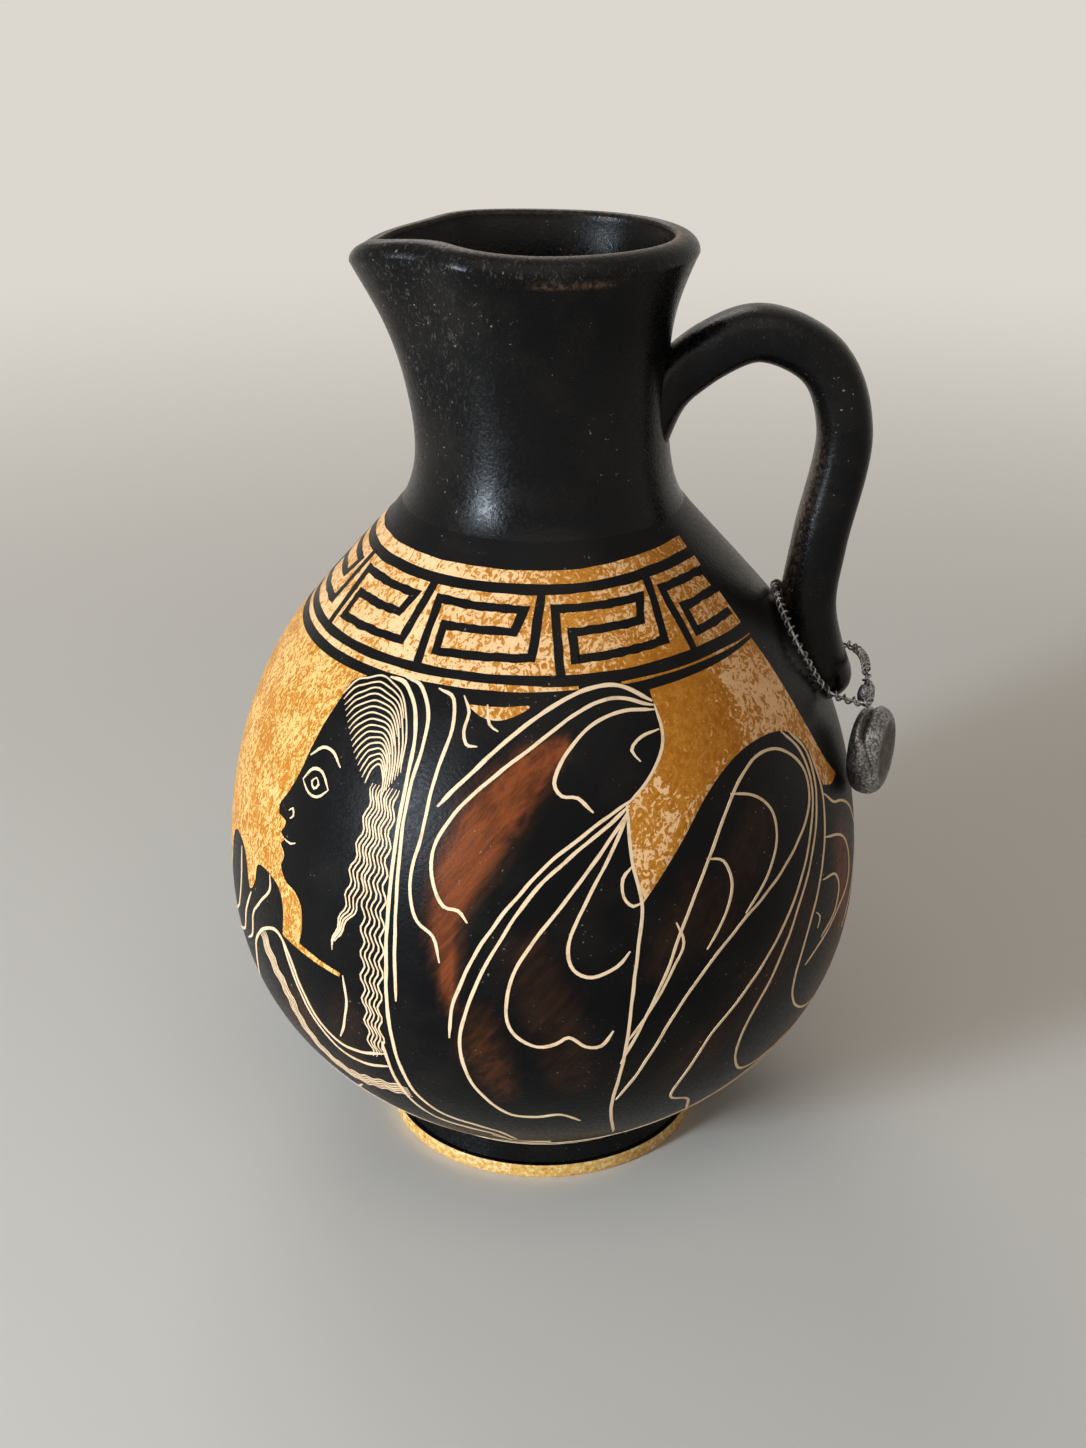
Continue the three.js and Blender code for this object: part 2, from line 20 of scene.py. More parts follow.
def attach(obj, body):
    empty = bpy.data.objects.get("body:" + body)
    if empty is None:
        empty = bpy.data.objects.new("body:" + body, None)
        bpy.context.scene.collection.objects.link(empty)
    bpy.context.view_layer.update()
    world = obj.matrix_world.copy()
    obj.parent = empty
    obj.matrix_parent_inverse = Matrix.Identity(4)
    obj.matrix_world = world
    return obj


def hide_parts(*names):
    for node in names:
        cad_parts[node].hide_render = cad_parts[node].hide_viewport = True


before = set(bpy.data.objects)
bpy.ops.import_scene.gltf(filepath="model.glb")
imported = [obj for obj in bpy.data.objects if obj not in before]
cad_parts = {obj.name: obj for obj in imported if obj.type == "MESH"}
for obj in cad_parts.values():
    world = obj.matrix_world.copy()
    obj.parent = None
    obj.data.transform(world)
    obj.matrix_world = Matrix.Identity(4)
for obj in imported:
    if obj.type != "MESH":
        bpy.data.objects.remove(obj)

LOG = logging.getLogger("jug")
MM = 0.001
# Points of a mesh that are closer than this, in metres, become one.
WELD = 1e-7
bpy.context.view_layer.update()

Place = tuple[float, float]
Span = tuple[float, float]
Point = tuple[float, float, float]
Colour = tuple[float, float, float]
Socket = bpy.types.NodeSocket
Fed = Socket | float | Colour


class Body(Enum):
    """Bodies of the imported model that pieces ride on."""

    JUG = "jug"
    WIRE_LOOP = "wire_loop"
    SEAL = "seal"


class Slot(Enum):
    """Material slots of the record."""

    BLACK_SLIP = "black_slip"
    PAINTED_CLAY = "painted_clay"
    SEALING_WIRE = "sealing_wire"
    LEAD = "lead"


def smoothstep(value: float, low: float, high: float) -> float:
    """Eases from 0 at low to 1 at high."""
    share = min(max((value - low) / (high - low), 0.0), 1.0)
    return share * share * (3 - 2 * share)


def hump(value: float, rise: Span, fall: Span) -> float:
    """Eases from 0 to 1 over one span and back to 0 over another."""
    return smoothstep(value, *rise) * (1 - smoothstep(value, *fall))


def through(places: Sequence[Sequence[float]], step: float) -> list[Vector]:
    """Draws a smooth line through places, as a pulled strip of clay or a brush would run.

    Args:
        places: Points in the plane or in space, at least two.
        step: The longest distance between two points of the line.

    Returns:
        Points of the line, with the first and last place among them.
    """
    least_span = 1e-4
    knots = [Vector(place) for place in places]
    knots = [2 * knots[0] - knots[1], *knots, 2 * knots[-1] - knots[-2]]
    line = [knots[1]]
    for before, start, end, after in zip(knots, knots[1:], knots[2:], knots[3:]):
        pairs = ((before, start), (start, end), (end, after))
        first, middle, last = (max(math.sqrt((b - a).length), least_span) for a, b in pairs)
        leave = (start - before) / first - (end - before) / (first + middle) + (end - start) / middle
        arrive = (end - start) / middle - (after - start) / (middle + last) + (after - end) / last
        handles = (start + leave * middle / 3, end - arrive * middle / 3)
        count = max(2, math.ceil((end - start).length / step) + 1)
        line += interpolate_bezier(start, *handles, end, count)[1:]
    return line


def straight(places: Sequence[Place], step: float) -> list[Vector]:
    """Draws straight runs from corner to corner.

    Args:
        places: The corners, in the plane.
        step: The longest distance between two points of the line.

    Returns:
        Points of the line, with every corner among them.
    """
    line = [Vector(places[0])]
    for start, end in zip(places, places[1:]):
        a, b = Vector(start), Vector(end)
        count = max(1, math.ceil((b - a).length / step))
        line += [a.lerp(b, i / count) for i in range(1, count + 1)]
    return line


def evenly(line: Sequence[Vector], count: int) -> list[Vector]:
    """Takes points at even distances along a line.

    Args:
        line: Points of the line, close to each other.
        count: How many even steps to take.

    Returns:
        The count + 1 points, with both ends of the line among them.
    """
    reached = [0.0]
    for a, b in zip(line, line[1:]):
        reached.append(reached[-1] + (b - a).length)
    spread = []
    for i in range(count + 1):
        want = reached[-1] * i / count
        j = min(max(bisect_left(reached, want), 1), len(line) - 1)
        span = reached[j] - reached[j - 1]
        share = (want - reached[j - 1]) / span if span else 0.0
        spread.append(line[j - 1].lerp(line[j], share))
    return spread


def stand_up(
    mesh: bmesh.types.BMesh,
    name: str,
    body: Body,
    slot: Slot,
    finishes: Sequence[bpy.types.Material],
    nodes: Sequence[str] = (),
    crease: float = 35.0,
) -> None:
    """Makes a piece of a finished mesh and lets it ride.

    Args:
        mesh: The piece's shape, in metres and in place.
        name: The piece's name.
        body: The body that it moves with.
        slot: The record's slot for its finish; not used.
        finishes: Its materials, in the order of its faces' indices.
        nodes: Solids that it stands for.
        crease: Edges sharper than this many degrees stay crisp.
    """
    data = bpy.data.meshes.new(name)
    mesh.to_mesh(data)
    mesh.free()
    for finish in finishes:
        data.materials.append(finish)
    data.shade_smooth()
    data.set_sharp_from_angle(angle=math.radians(crease))
    piece = bpy.data.objects.new(name, data)
    bpy.context.scene.collection.objects.link(piece)
    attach(piece, body.value)
    if nodes:
        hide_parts(*nodes)
    LOG.info("%s: %d faces on %s", name, len(data.polygons), body.value)


class Outline:
    """A turned outline that rises from its foot to its rim, in millimetres of radius and height."""

    slope_reach = 0.6

    def __init__(self, stretches: Sequence[Sequence[Vector]], steps: int) -> None:
        """Samples cubic stretches.

        Args:
            stretches: Each a start, two curve handles and an end.
            steps: Points for each stretch.
        """
        self.points = [stretches[0][0]]
        for corners in stretches:
            self.points += interpolate_bezier(*corners, steps + 1)[1:]
        self.heights = [p.y for p in self.points]

    def radius(self, height: float) -> float:
        """Gives the radius at a height.

        Args:
            height: Height above the table.

        Returns:
            The radius there, or at the nearer end where the outline doesn't reach that far.
        """
        i = min(max(bisect_left(self.heights, height), 1), len(self.points) - 1)
        low, high = self.points[i - 1], self.points[i]
        share = (height - low.y) / (high.y - low.y)
        return low.x + (high.x - low.x) * min(max(share, 0.0), 1.0)

    def rise(self, height: float) -> Vector:
        """Gives the direction in which the wall runs up at a height.

        Args:
            height: Height above the table.

        Returns:
            The direction in radius and height, of length 1.
        """
        low = max(height - self.slope_reach, self.heights[0])
        high = min(height + self.slope_reach, self.heights[-1])
        return Vector((self.radius(high) - self.radius(low), high - low)).normalized()

    def moved(self, distance: Callable[[float], float]) -> list[Vector]:
        """Moves the outline outwards.

        Args:
            distance: Gives the distance to move by at a height.

        Returns:
            The moved points, from the foot to the rim.
        """
        shifted = []
        for p in self.points:
            rise = self.rise(p.y)
            shifted.append(p + Vector((rise.y, -rise.x)) * distance(p.y))
        return shifted


@dataclass(frozen=True)
class JugShape:
    """Sizes of the turned clay, shared by the pieces that sit on it."""

    foot_height: float = 6.0
    seat_radius: float = 26.6
    belly_radius: float = 54.75
    widest_height: float = 51.0
    shoulder: Place = (41.0, 96.0)
    shoulder_lean: float = 39.5
    joint: Place = (23.1, 116.5)
    joint_lean: float = 31.0
    waist: Place = (20.2, 137.0)
    lip_radius: float = 24.7
    lip_height: float = 159.5
    lip_roll: tuple[float, float] = (3.1, 2.7)
    lip_lean: float = 24.0
    belly_wall: float = 4.4
    neck_wall: float = 3.6
    floor: float = 5.0
    seat_pull: float = 4.9
    widest_pulls: tuple[float, float] = (29.9, 25.7)
    shoulder_pulls: tuple[float, float] = (6.1, 10.6)
    joint_pulls: tuple[float, float] = (1.0, 5.0)
    waist_pull: float = 9.0
    lip_pull: float = 7.0
    belly_steps: int = 40
    neck_steps: int = 28

    def belly(self) -> Outline:
        """Gives the outside of the belly, from the foot to the joint with the neck.

        Returns:
            The outline, from below.
        """
        seat = Vector((self.seat_radius, self.foot_height))
        widest = Vector((self.belly_radius, self.widest_height))
        shoulder, joint = Vector(self.shoulder), Vector(self.joint)
        over, into = self._leaning(self.shoulder_lean), self._leaning(self.joint_lean)
        outwards = (widest - seat).normalized()
        under_widest, over_widest = (Vector((0, pull)) for pull in self.widest_pulls)
        under_shoulder, over_shoulder = (over * pull for pull in self.shoulder_pulls)
        stretches = (
            (seat, seat + outwards * self.seat_pull, widest - under_widest, widest),
            (widest, widest + over_widest, shoulder - under_shoulder, shoulder),
            (shoulder, shoulder + over_shoulder, joint - into * self.joint_pulls[0], joint),
        )
        return Outline(stretches, self.belly_steps)

    def neck(self) -> Outline:
        """Gives the outside of the neck, from the joint to where the lip rounds over.

        Returns:
            The outline, from below.
        """
        joint, waist = Vector(self.joint), Vector(self.waist)
        lip = Vector((self.lip_radius, self.lip_height - self.lip_roll[1]))
        into, flare = self._leaning(self.joint_lean), self._leaning(-self.lip_lean)
        upright = Vector((0, self.waist_pull))
        stretches = (
            (joint, joint + into * self.joint_pulls[1], waist - upright, waist),
            (waist, waist + upright, lip - flare * self.lip_pull, lip),
        )
        return Outline(stretches, self.neck_steps)

    @staticmethod
    def _leaning(degrees: float) -> Vector:
        """Gives the upward direction that leans in towards the axis by an angle."""
        return Vector((-math.sin(math.radians(degrees)), math.cos(math.radians(degrees))))


class Skin:
    """The outside of a turned outline, on which places are found by azimuth and height."""

    flattest_rise = 0.2

    def __init__(self, outline: Outline) -> None:
        """Keeps the outline."""
        self.outline = outline

    def place(self, azimuth: float, height: float, lift: float) -> Vector:
        """Finds a point on the wall or near it.

        Args:
            azimuth: Degrees round the jug.
            height: Height above the table, in millimetres.
            lift: Distance off the wall, in millimetres.

        Returns:
            The point, in metres.
        """
        rise = self.outline.rise(height)
        radius = self.outline.radius(height) + lift * rise.y
        turn = math.radians(azimuth)
        return Vector((radius * math.sin(turn), -radius * math.cos(turn), height - lift * rise.x)) * MM

    def scale(self, height: float) -> Vector:
        """Gives the millimetres of wall for one degree round and for one millimetre up."""
        rise = self.outline.rise(height)
        return Vector((math.radians(self.outline.radius(height)), 1 / max(rise.y, self.flattest_rise)))


def turn_profile(profile: Iterable[Vector], segments: int) -> bmesh.types.BMesh:
    """Turns a profile of radius and height, in millimetres, about the jug's axis.

    Args:
        profile: The closed way round the section, both ends on the axis or both in one point.
        segments: Steps of the full turn.

    Returns:
        A closed mesh in metres, with its faces outwards.
    """
    mesh = bmesh.new()
    row = [mesh.verts.new((p[0] * MM, 0, p[1] * MM)) for p in profile]
    edges = [mesh.edges.new(pair) for pair in zip(row, row[1:])]
    bmesh.ops.spin(
        mesh,
        geom=row + edges,
        cent=(0, 0, 0),
        axis=(0, 0, 1),
        angle=2 * math.pi,
        steps=segments,
        use_merge=True,
    )
    bmesh.ops.remove_doubles(mesh, verts=mesh.verts[:], dist=WELD)
    bmesh.ops.recalc_face_normals(mesh, faces=mesh.faces[:])
    return mesh


class Bench:
    """Wires the nodes of one finish."""

    def __init__(self, name: str) -> None:
        """Starts a material that reads Object coordinates.

        Args:
            name: The material's name.
        """
        self.material = bpy.data.materials.new(name)
        self.material.use_nodes = True
        self.tree = self.material.node_tree
        self.shader = self.tree.nodes["Principled BSDF"]
        self.position = self.add("ShaderNodeTexCoord").outputs["Object"]

    def add(self, kind: str, **settings: object) -> bpy.types.Node:
        """Adds a node.

        Args:
            kind: The node's type.
            settings: Its options.

        Returns:
            The node.
        """
        node = self.tree.nodes.new(kind)
        for key, value in settings.items():
            setattr(node, key, value)
        return node

    def feed(self, socket: Socket, value: Fed) -> None:
        """Links a socket to another, or gives it a value or colour.

        Args:
            socket: The socket that is fed.
            value: What it gets.
        """
        if isinstance(value, Socket):
            self.tree.links.new(value, socket)
        elif isinstance(value, tuple) and len(socket.default_value) == 4:
            socket.default_value = (*value, 1.0)
        else:
            socket.default_value = value

    def grain(
        self,
        size: float,
        detail: float = 2.0,
        rough: float = 0.5,
        bend: float = 0.0,
        stretch: Point = (1, 1, 1),
        lean: float = 0.0,
    ) -> Socket:
        """Gives cloudy noise.

        Args:
            size: Width of a grain, in millimetres.
            detail: Levels of finer grain in it.
            rough: Strength of the finer grain.
            bend: How far the grains are bent.
            stretch: Growth of the grains along the axes.
            lean: Lean of the stretched grains to one side, in degrees.

        Returns:
            The noise, about 0.5 on average.
        """
        mapping = self.add("ShaderNodeMapping", vector_type="TEXTURE")
        self.feed(mapping.inputs["Vector"], self.position)
        mapping.inputs["Rotation"].default_value = (0, math.radians(lean), 0)
        mapping.inputs["Scale"].default_value = stretch
        node = self.add("ShaderNodeTexNoise")
        self.feed(node.inputs["Vector"], mapping.outputs["Vector"])
        options = {"Scale": 1 / (size * MM), "Detail": detail, "Roughness": rough, "Distortion": bend}
        for name, value in options.items():
            node.inputs[name].default_value = value
        return node.outputs["Fac"]

    def cells(self, size: float, smooth: float) -> Socket:
        """Gives the distance to the middle of rounded cells.

        Args:
            size: Width of a cell, in millimetres.
            smooth: Softness of the borders between cells.

        Returns:
            The distance, in widths of a cell.
        """
        node = self.add("ShaderNodeTexVoronoi", feature="SMOOTH_F1")
        self.feed(node.inputs["Vector"], self.position)
        node.inputs["Scale"].default_value = 1 / (size * MM)
        node.inputs["Smoothness"].default_value = smooth
        return node.outputs["Distance"]

    def step(self, value: Socket, low: float, high: float, start: float = 0.0, end: float = 1.0) -> Socket:
        """Eases from one level to another as a value grows.

        Args:
            value: The value that is read.
            low: Where the easing starts.
            high: Where it ends.
            start: The level at low.
            end: The level at high.

        Returns:
            The level.
        """
        node = self.add("ShaderNodeMapRange", interpolation_type="SMOOTHSTEP")
        self.feed(node.inputs["Value"], value)
        limits = {"From Min": low, "From Max": high, "To Min": start, "To Max": end}
        for name, limit in limits.items():
            node.inputs[name].default_value = limit
        return node.outputs["Result"]

    def maths(self, operation: str, first: Fed, second: Fed) -> Socket:
        """Works out a sum on two values.

        Args:
            operation: The sum's name on the node.
            first: Its first value.
            second: Its second value.

        Returns:
            The result.
        """
        node = self.add("ShaderNodeMath", operation=operation)
        self.feed(node.inputs[0], first)
        self.feed(node.inputs[1], second)
        return node.outputs["Value"]

    def plus(self, first: Fed, second: Fed) -> Socket:
        """Adds two values."""
        return self.maths("ADD", first, second)

    def less(self, first: Fed, second: Fed) -> Socket:
        """Takes the second value from the first."""
        return self.maths("SUBTRACT", first, second)

    def times(self, first: Fed, second: Fed) -> Socket:
        """Multiplies two values."""
        return self.maths("MULTIPLY", first, second)

    def most(self, first: Fed, second: Fed) -> Socket:
        """Gives the larger of two values."""
        return self.maths("MAXIMUM", first, second)

    def blend(self, share: Socket, first: Fed, second: Fed) -> Socket:
        """Gives a colour between two colours.

        Args:
            share: How much of the second colour there is.
            first: The first colour.
            second: The second colour.

        Returns:
            The blended colour.
        """
        node = self.add("ShaderNodeMix", data_type="RGBA")
        for name, fed in (("Factor_Float", share), ("A_Color", first), ("B_Color", second)):
            self.feed(next(s for s in node.inputs if s.identifier == name), fed)
        return next(s for s in node.outputs if s.identifier == "Result_Color")

    def painted(self, name: str) -> Socket:
        """Reads a value that the piece carries at its points."""
        return self.add("ShaderNodeAttribute", attribute_name=name).outputs["Fac"]

    def relief(self, height: Socket, depth: float, strength: float) -> None:
        """Gives the surface a fine relief.

        Args:
            height: Its height, from 0 to 1.
            depth: Its depth, in millimetres.
            strength: How plainly it shows.
        """
        node = self.add("ShaderNodeBump")
        node.inputs["Strength"].default_value = strength
        node.inputs["Distance"].default_value = depth * MM
        self.feed(node.inputs["Height"], height)
        self.feed(self.shader.inputs["Normal"], node.outputs["Normal"])

    def surface(self, colour: Fed, roughness: Fed, metallic: float = 0.0, specular: float = 0.5) -> None:
        """Sets the shader.

        Args:
            colour: The surface's colour.
            roughness: Its roughness.
            metallic: Its share of bare metal.
            specular: Its specular level.
        """
        self.feed(self.shader.inputs["Base Color"], colour)
        self.feed(self.shader.inputs["Roughness"], roughness)
        self.shader.inputs["Metallic"].default_value = metallic
        self.shader.inputs["Specular IOR Level"].default_value = specular


@dataclass(frozen=True)
class BlackSlip:
    """Black slip over red clay: rubbed, specked, scratched, washed red-brown, worn on its edges; a painted
    reflection on the handle.
    """

    name: str
    gloss: Span
    specular: float
    black: Colour = (0.0024, 0.0023, 0.0027)
    rubbed: Colour = (0.007, 0.006, 0.0052)
    sienna: Colour = (0.215, 0.053, 0.014)
    umber: Colour = (0.13, 0.045, 0.013)
    clay: Colour = (0.3, 0.17, 0.1)
    dust: Colour = (0.36, 0.31, 0.25)
    scrape_share: float = 0.2
    speck_share: float = 0.6
    relief_depth: float = 0.1
    relief_strength: float = 0.6

    def material(self) -> bpy.types.Material:
        """Wires the finish; a piece carries wash, worn and scuffed places at its points where it has them;
        on the handle's inner edge these are partly a painted reflection.

        Returns:
            The material.
        """
        bench = Bench(self.name)
        cloud = bench.grain(11, detail=4, rough=0.6)
        fine = bench.grain(0.6, detail=3, rough=0.65)
        brushed = bench.grain(1.2, detail=4, rough=0.6, bend=0.4, stretch=(1, 1, 9), lean=38)
        tone = bench.blend(bench.step(cloud, 0.42, 0.72), self.black, self.rubbed)
        tone = self._washed(bench, tone, cloud, brushed)
        patchy = bench.step(bench.grain(0.95, detail=4, rough=0.7, bend=0.6), 0.44, 0.58, 0.1, 1.0)
        # On the handle's inner edge this worn share is partly a painted reflection.
        worn = bench.times(bench.painted("wear_and_sheen"), patchy)
        tone = bench.blend(worn, tone, self.clay)
        tone = self._scuffed(bench, tone, cloud)
        dull = bench.plus(bench.times(fine, 0.8), bench.times(cloud, 0.4))
        rough = bench.step(bench.plus(dull, bench.times(worn, 0.3)), 0.44, 0.76, *self.gloss)
        bench.surface(tone, rough, specular=self.specular)
        uneven = bench.plus(fine, bench.times(brushed, 0.2))
        bench.relief(uneven, self.relief_depth, self.relief_strength)
        return bench.material

    def _washed(self, bench: Bench, tone: Socket, cloud: Socket, brushed: Socket) -> Socket:
        """Brushes red-brown over the black.

        Args:
            bench: The finish's nodes.
            tone: The colour so far.
            cloud: Broad unevenness.
            brushed: Streaks of the brush.

        Returns:
            The colour with the wash on it.
        """
        wash = bench.painted("wash")
        streaks = bench.step(bench.plus(brushed, bench.times(cloud, 0.5)), 0.56, 0.96, 0.18, 0.9)
        streaks = bench.plus(streaks, bench.step(wash, 0.6, 1.0, 0.0, 0.28))
        stain = bench.blend(bench.step(wash, 0.3, 0.8), self.umber, self.sienna)
        return bench.blend(bench.times(wash, streaks), tone, stain)

    def _scuffed(self, bench: Bench, tone: Socket, cloud: Socket) -> Socket:
        """Scrapes and specks the slip, most of all where the piece is scuffed; on the handle's inner edge
        they are partly a painted reflection.

        Args:
            bench: The finish's nodes.
            tone: The colour so far.
            cloud: Broad unevenness.

        Returns:
            The colour with the scrapes and specks on it.
        """
        # On the handle's inner edge the scuffed share is partly a painted reflection.
        scuff_and_sheen = bench.painted("scuff_and_sheen")
        scratchy = bench.grain(0.8, detail=4, rough=0.75, bend=1.2, stretch=(1, 1, 2.2))
        scrapes = bench.times(bench.step(scratchy, 0.53, 0.72), scuff_and_sheen)
        tone = bench.blend(bench.times(scrapes, self.scrape_share), tone, self.dust)
        specks = bench.step(bench.grain(0.62, detail=1, rough=0.4), 0.745, 0.785)
        ticks = bench.step(bench.grain(0.8, bend=2.2), 0.735, 0.775)
        where = bench.most(bench.step(cloud, 0.46, 0.64), bench.times(scuff_and_sheen, 0.8))
        marks = bench.times(bench.most(specks, ticks), where)
        return bench.blend(bench.times(marks, self.speck_share), tone, self.dust)


@dataclass(frozen=True)
class MottledGround:
    """Cream slip flaked over golden ochre, in the bare ground of the picture."""

    name: str
    cream: Colour
    flake: float
    ochre: Colour = (0.61, 0.24, 0.026)
    amber: Colour = (0.4, 0.128, 0.006)
    gild_share: float = 0.42
    relief_depth: float = 0.05
    relief_strength: float = 0.35

    def material(self) -> bpy.types.Material:
        """Wires the finish; a piece carries gild, the share of ochre, at its points.

        Returns:
            The material.
        """
        bench = Bench(self.name)
        wide, slim = self.flake * 1.25, self.flake * 0.8
        flakes = bench.grain(wide, detail=3, rough=0.55, bend=1.9, stretch=(1, 1, 1.7), lean=24)
        small = bench.grain(self.flake * 0.42, bend=0.6)
        cloud = bench.grain(8, detail=3, rough=0.55)
        height = bench.plus(flakes, bench.times(bench.less(small, 0.5), 0.35))
        height = bench.plus(height, bench.times(bench.less(cloud, 0.5), 0.3))
        cover = bench.plus(height, bench.times(bench.painted("gild"), self.gild_share))
        bare = bench.step(cover, 0.6, 0.63)
        tone = bench.blend(bare, self.cream, self.ochre)
        strokes = bench.grain(slim, detail=4, rough=0.7, bend=0.5, stretch=(1, 1, 3), lean=28)
        deep = bench.times(bench.step(strokes, 0.4, 0.62, 0.1, 1.0), bench.step(cover, 0.64, 0.76))
        tone = bench.blend(deep, tone, self.amber)
        dots = bench.step(bench.plus(small, bench.times(bare, 0.12)), 0.6, 0.68, 0.0, 0.5)
        tone = bench.blend(dots, tone, self.amber)
        tone = bench.blend(bench.step(cloud, 0.35, 0.7, 0.0, 0.25), tone, self.ochre)
        bench.surface(tone, bench.step(bare, 0.0, 1.0, 0.52, 0.4), specular=0.2)
        bench.relief(bench.step(cover, 0.58, 0.66, 1.0, 0.0), self.relief_depth, self.relief_strength)
        return bench.material


@dataclass(frozen=True)
class DrawnLine:
    """A drawn line, a little thin in places."""

    name: str
    full: Colour
    thin: Colour

    def material(self) -> bpy.types.Material:
        """Wires the finish.

        Returns:
            The material.
        """
        bench = Bench(self.name)
        rubbed = bench.step(bench.grain(2.2, detail=4, rough=0.65), 0.52, 0.78, 0.0, 0.75)
        bench.surface(bench.blend(rubbed, self.full, self.thin), 0.55, specular=0.3)
        bench.relief(bench.grain(0.3), depth=0.03, strength=0.3)
        return bench.material


@dataclass(frozen=True)
class GoldEdge:
    """Grainy golden edge round the foot."""

    gold: Colour = (0.76, 0.4, 0.08)
    pale: Colour = (0.92, 0.69, 0.32)
    burnt: Colour = (0.3, 0.12, 0.02)

    def material(self) -> bpy.types.Material:
        """Wires the finish.

        Returns:
            The material.
        """
        bench = Bench("gold_edge")
        grit = bench.grain(0.8, detail=4, rough=0.7)
        tone = bench.blend(bench.step(grit, 0.47, 0.6), self.gold, self.pale)
        tone = bench.blend(bench.step(grit, 0.42, 0.3), tone, self.burnt)
        bench.surface(tone, bench.step(grit, 0.3, 0.7, 0.5, 0.34))
        bench.relief(grit, depth=0.12, strength=0.6)
        return bench.material


@dataclass(frozen=True)
class OldLead:
    """Beaten, finely pitted lead that has gone dull, dirty in its pits and dents, with painted shade on its
    flat face.
    """

    dull: Colour = (0.21, 0.205, 0.205)
    bright: Colour = (0.44, 0.44, 0.45)
    grime_and_shade: Colour = (0.052, 0.039, 0.029)

    def material(self) -> bpy.types.Material:
        """Wires the finish.

        Returns:
            The material.
        """
        bench = Bench("old_lead")
        pits = bench.cells(0.45, smooth=0.3)
        cloud = bench.grain(2.6, detail=4, rough=0.6)
        fine = bench.grain(0.3, detail=3, rough=0.6)
        tone = bench.blend(bench.step(cloud, 0.38, 0.72), self.dull, self.bright)
        pitted = bench.plus(pits, bench.times(fine, 0.5))
        pit_grime_and_face_shade = bench.step(pitted, 0.72, 0.88, 0.0, 0.74)
        # Dirt in the dents and painted shade on the flat face darken the lead.
        dent_grime_and_face_shade = bench.times(bench.painted("grime_and_shade"), bench.step(cloud, 0.3, 0.6, 0.88, 1.0))
        pit_grime_and_face_shade = bench.most(pit_grime_and_face_shade, dent_grime_and_face_shade)
        tone = bench.blend(pit_grime_and_face_shade, tone, self.grime_and_shade)
        bench.surface(tone, bench.step(pitted, 0.5, 0.8, 0.24, 0.5), metallic=0.75)
        bench.relief(bench.less(fine, pits), depth=0.14, strength=0.6)
        return bench.material


@dataclass(frozen=True)
class DullWire:
    """Tarnished steel wire."""

    steel: Colour = (0.27, 0.26, 0.255)
    rust: Colour = (0.06, 0.039, 0.027)

    def material(self) -> bpy.types.Material:
        """Wires the finish.

        Returns:
            The material.
        """
        bench = Bench("dull_wire")
        tarnish = bench.grain(1.8, detail=4, rough=0.65)
        tone = bench.blend(bench.step(tarnish, 0.44, 0.64), self.steel, self.rust)
        bench.surface(tone, bench.step(tarnish, 0.35, 0.65, 0.26, 0.55), metallic=0.85)
        bench.relief(bench.grain(0.2), depth=0.03, strength=0.3)
        return bench.material


@dataclass(frozen=True)
class Wash:
    """A soft brushful of red-brown over the black, through places of azimuth, height and reach."""

    places: tuple[Point, ...]
    strength: float
    degree: float = 0.9
    full: float = 0.3

    def at(self, azimuth: float, height: float) -> float:
        """Gives how much of the wash lies at a place.

        Args:
            azimuth: Degrees round the jug.
            height: Height above the table, in millimetres.

        Returns:
            The share of the wash, up to its strength.
        """
        here = self._flat(azimuth, height)
        least = 1.0
        for start, end in zip(self.places, self.places[1:]):
            a, b = self._flat(*start[:2]), self._flat(*end[:2])
            run = b - a
            share = min(max((here - a).dot(run) / run.length_squared, 0.0), 1.0)
            reach = start[2] + (end[2] - start[2]) * share
            least = min(least, (here - a - run * share).length / reach)
        return self.strength * (1 - smoothstep(least, self.full, 1.0))

    def _flat(self, azimuth: float, height: float) -> Vector:
        """Unrolls a place of the belly, in millimetres."""
        return Vector((azimuth * self.degree, height))


@dataclass
class Foot:
    """The turned foot: a black slope over a grainy golden edge."""

    radius: float = 27.9
    top_radius: float = 26.2
    edge_height: float = 2.2
    edge_round: float = 0.6
    edge_steps: int = 4
    underside_ring: float = 0.6
    slope_inset: float = 0.3
    slope_steps: int = 6
    gold_share: float = 0.93
    segments: int = 160

    def build(self, shape: JugShape, slip: bpy.types.Material, gold: bpy.types.Material) -> None:
        """Turns the foot and gives its edge and underside their own finish.

        Args:
            shape: The jug's sizes.
            slip: Finish of the slope.
            gold: Finish of the edge.
        """
        rim, top = self.radius - self.edge_round, self.edge_height + self.edge_round
        turns = [t * math.pi / (2 * self.edge_steps) for t in range(self.edge_steps + 1)]
        corner = [(math.sin(t), 1 - math.cos(t)) for t in turns]
        profile = [Vector((0, 0)), Vector((rim * self.underside_ring, 0))]
        profile += [Vector((rim + s * self.edge_round, c * self.edge_round)) for s, c in corner]
        profile += [Vector((rim + s * self.edge_round, top - c * self.edge_round)) for s, c in corner[::-1]]
        slope_foot = Vector((rim - self.slope_inset, top))
        slope_top = Vector((self.top_radius, shape.foot_height))
        profile += [slope_foot.lerp(slope_top, t / self.slope_steps) for t in range(self.slope_steps + 1)]
        profile.append(Vector((0, shape.foot_height)))
        mesh = turn_profile(profile, self.segments)
        for face in mesh.faces:
            face.material_index = int(face.calc_center_median().z < top * self.gold_share * MM)
        stand_up(mesh, "foot_ring", Body.JUG, Slot.BLACK_SLIP, (slip, gold), ("foot",))


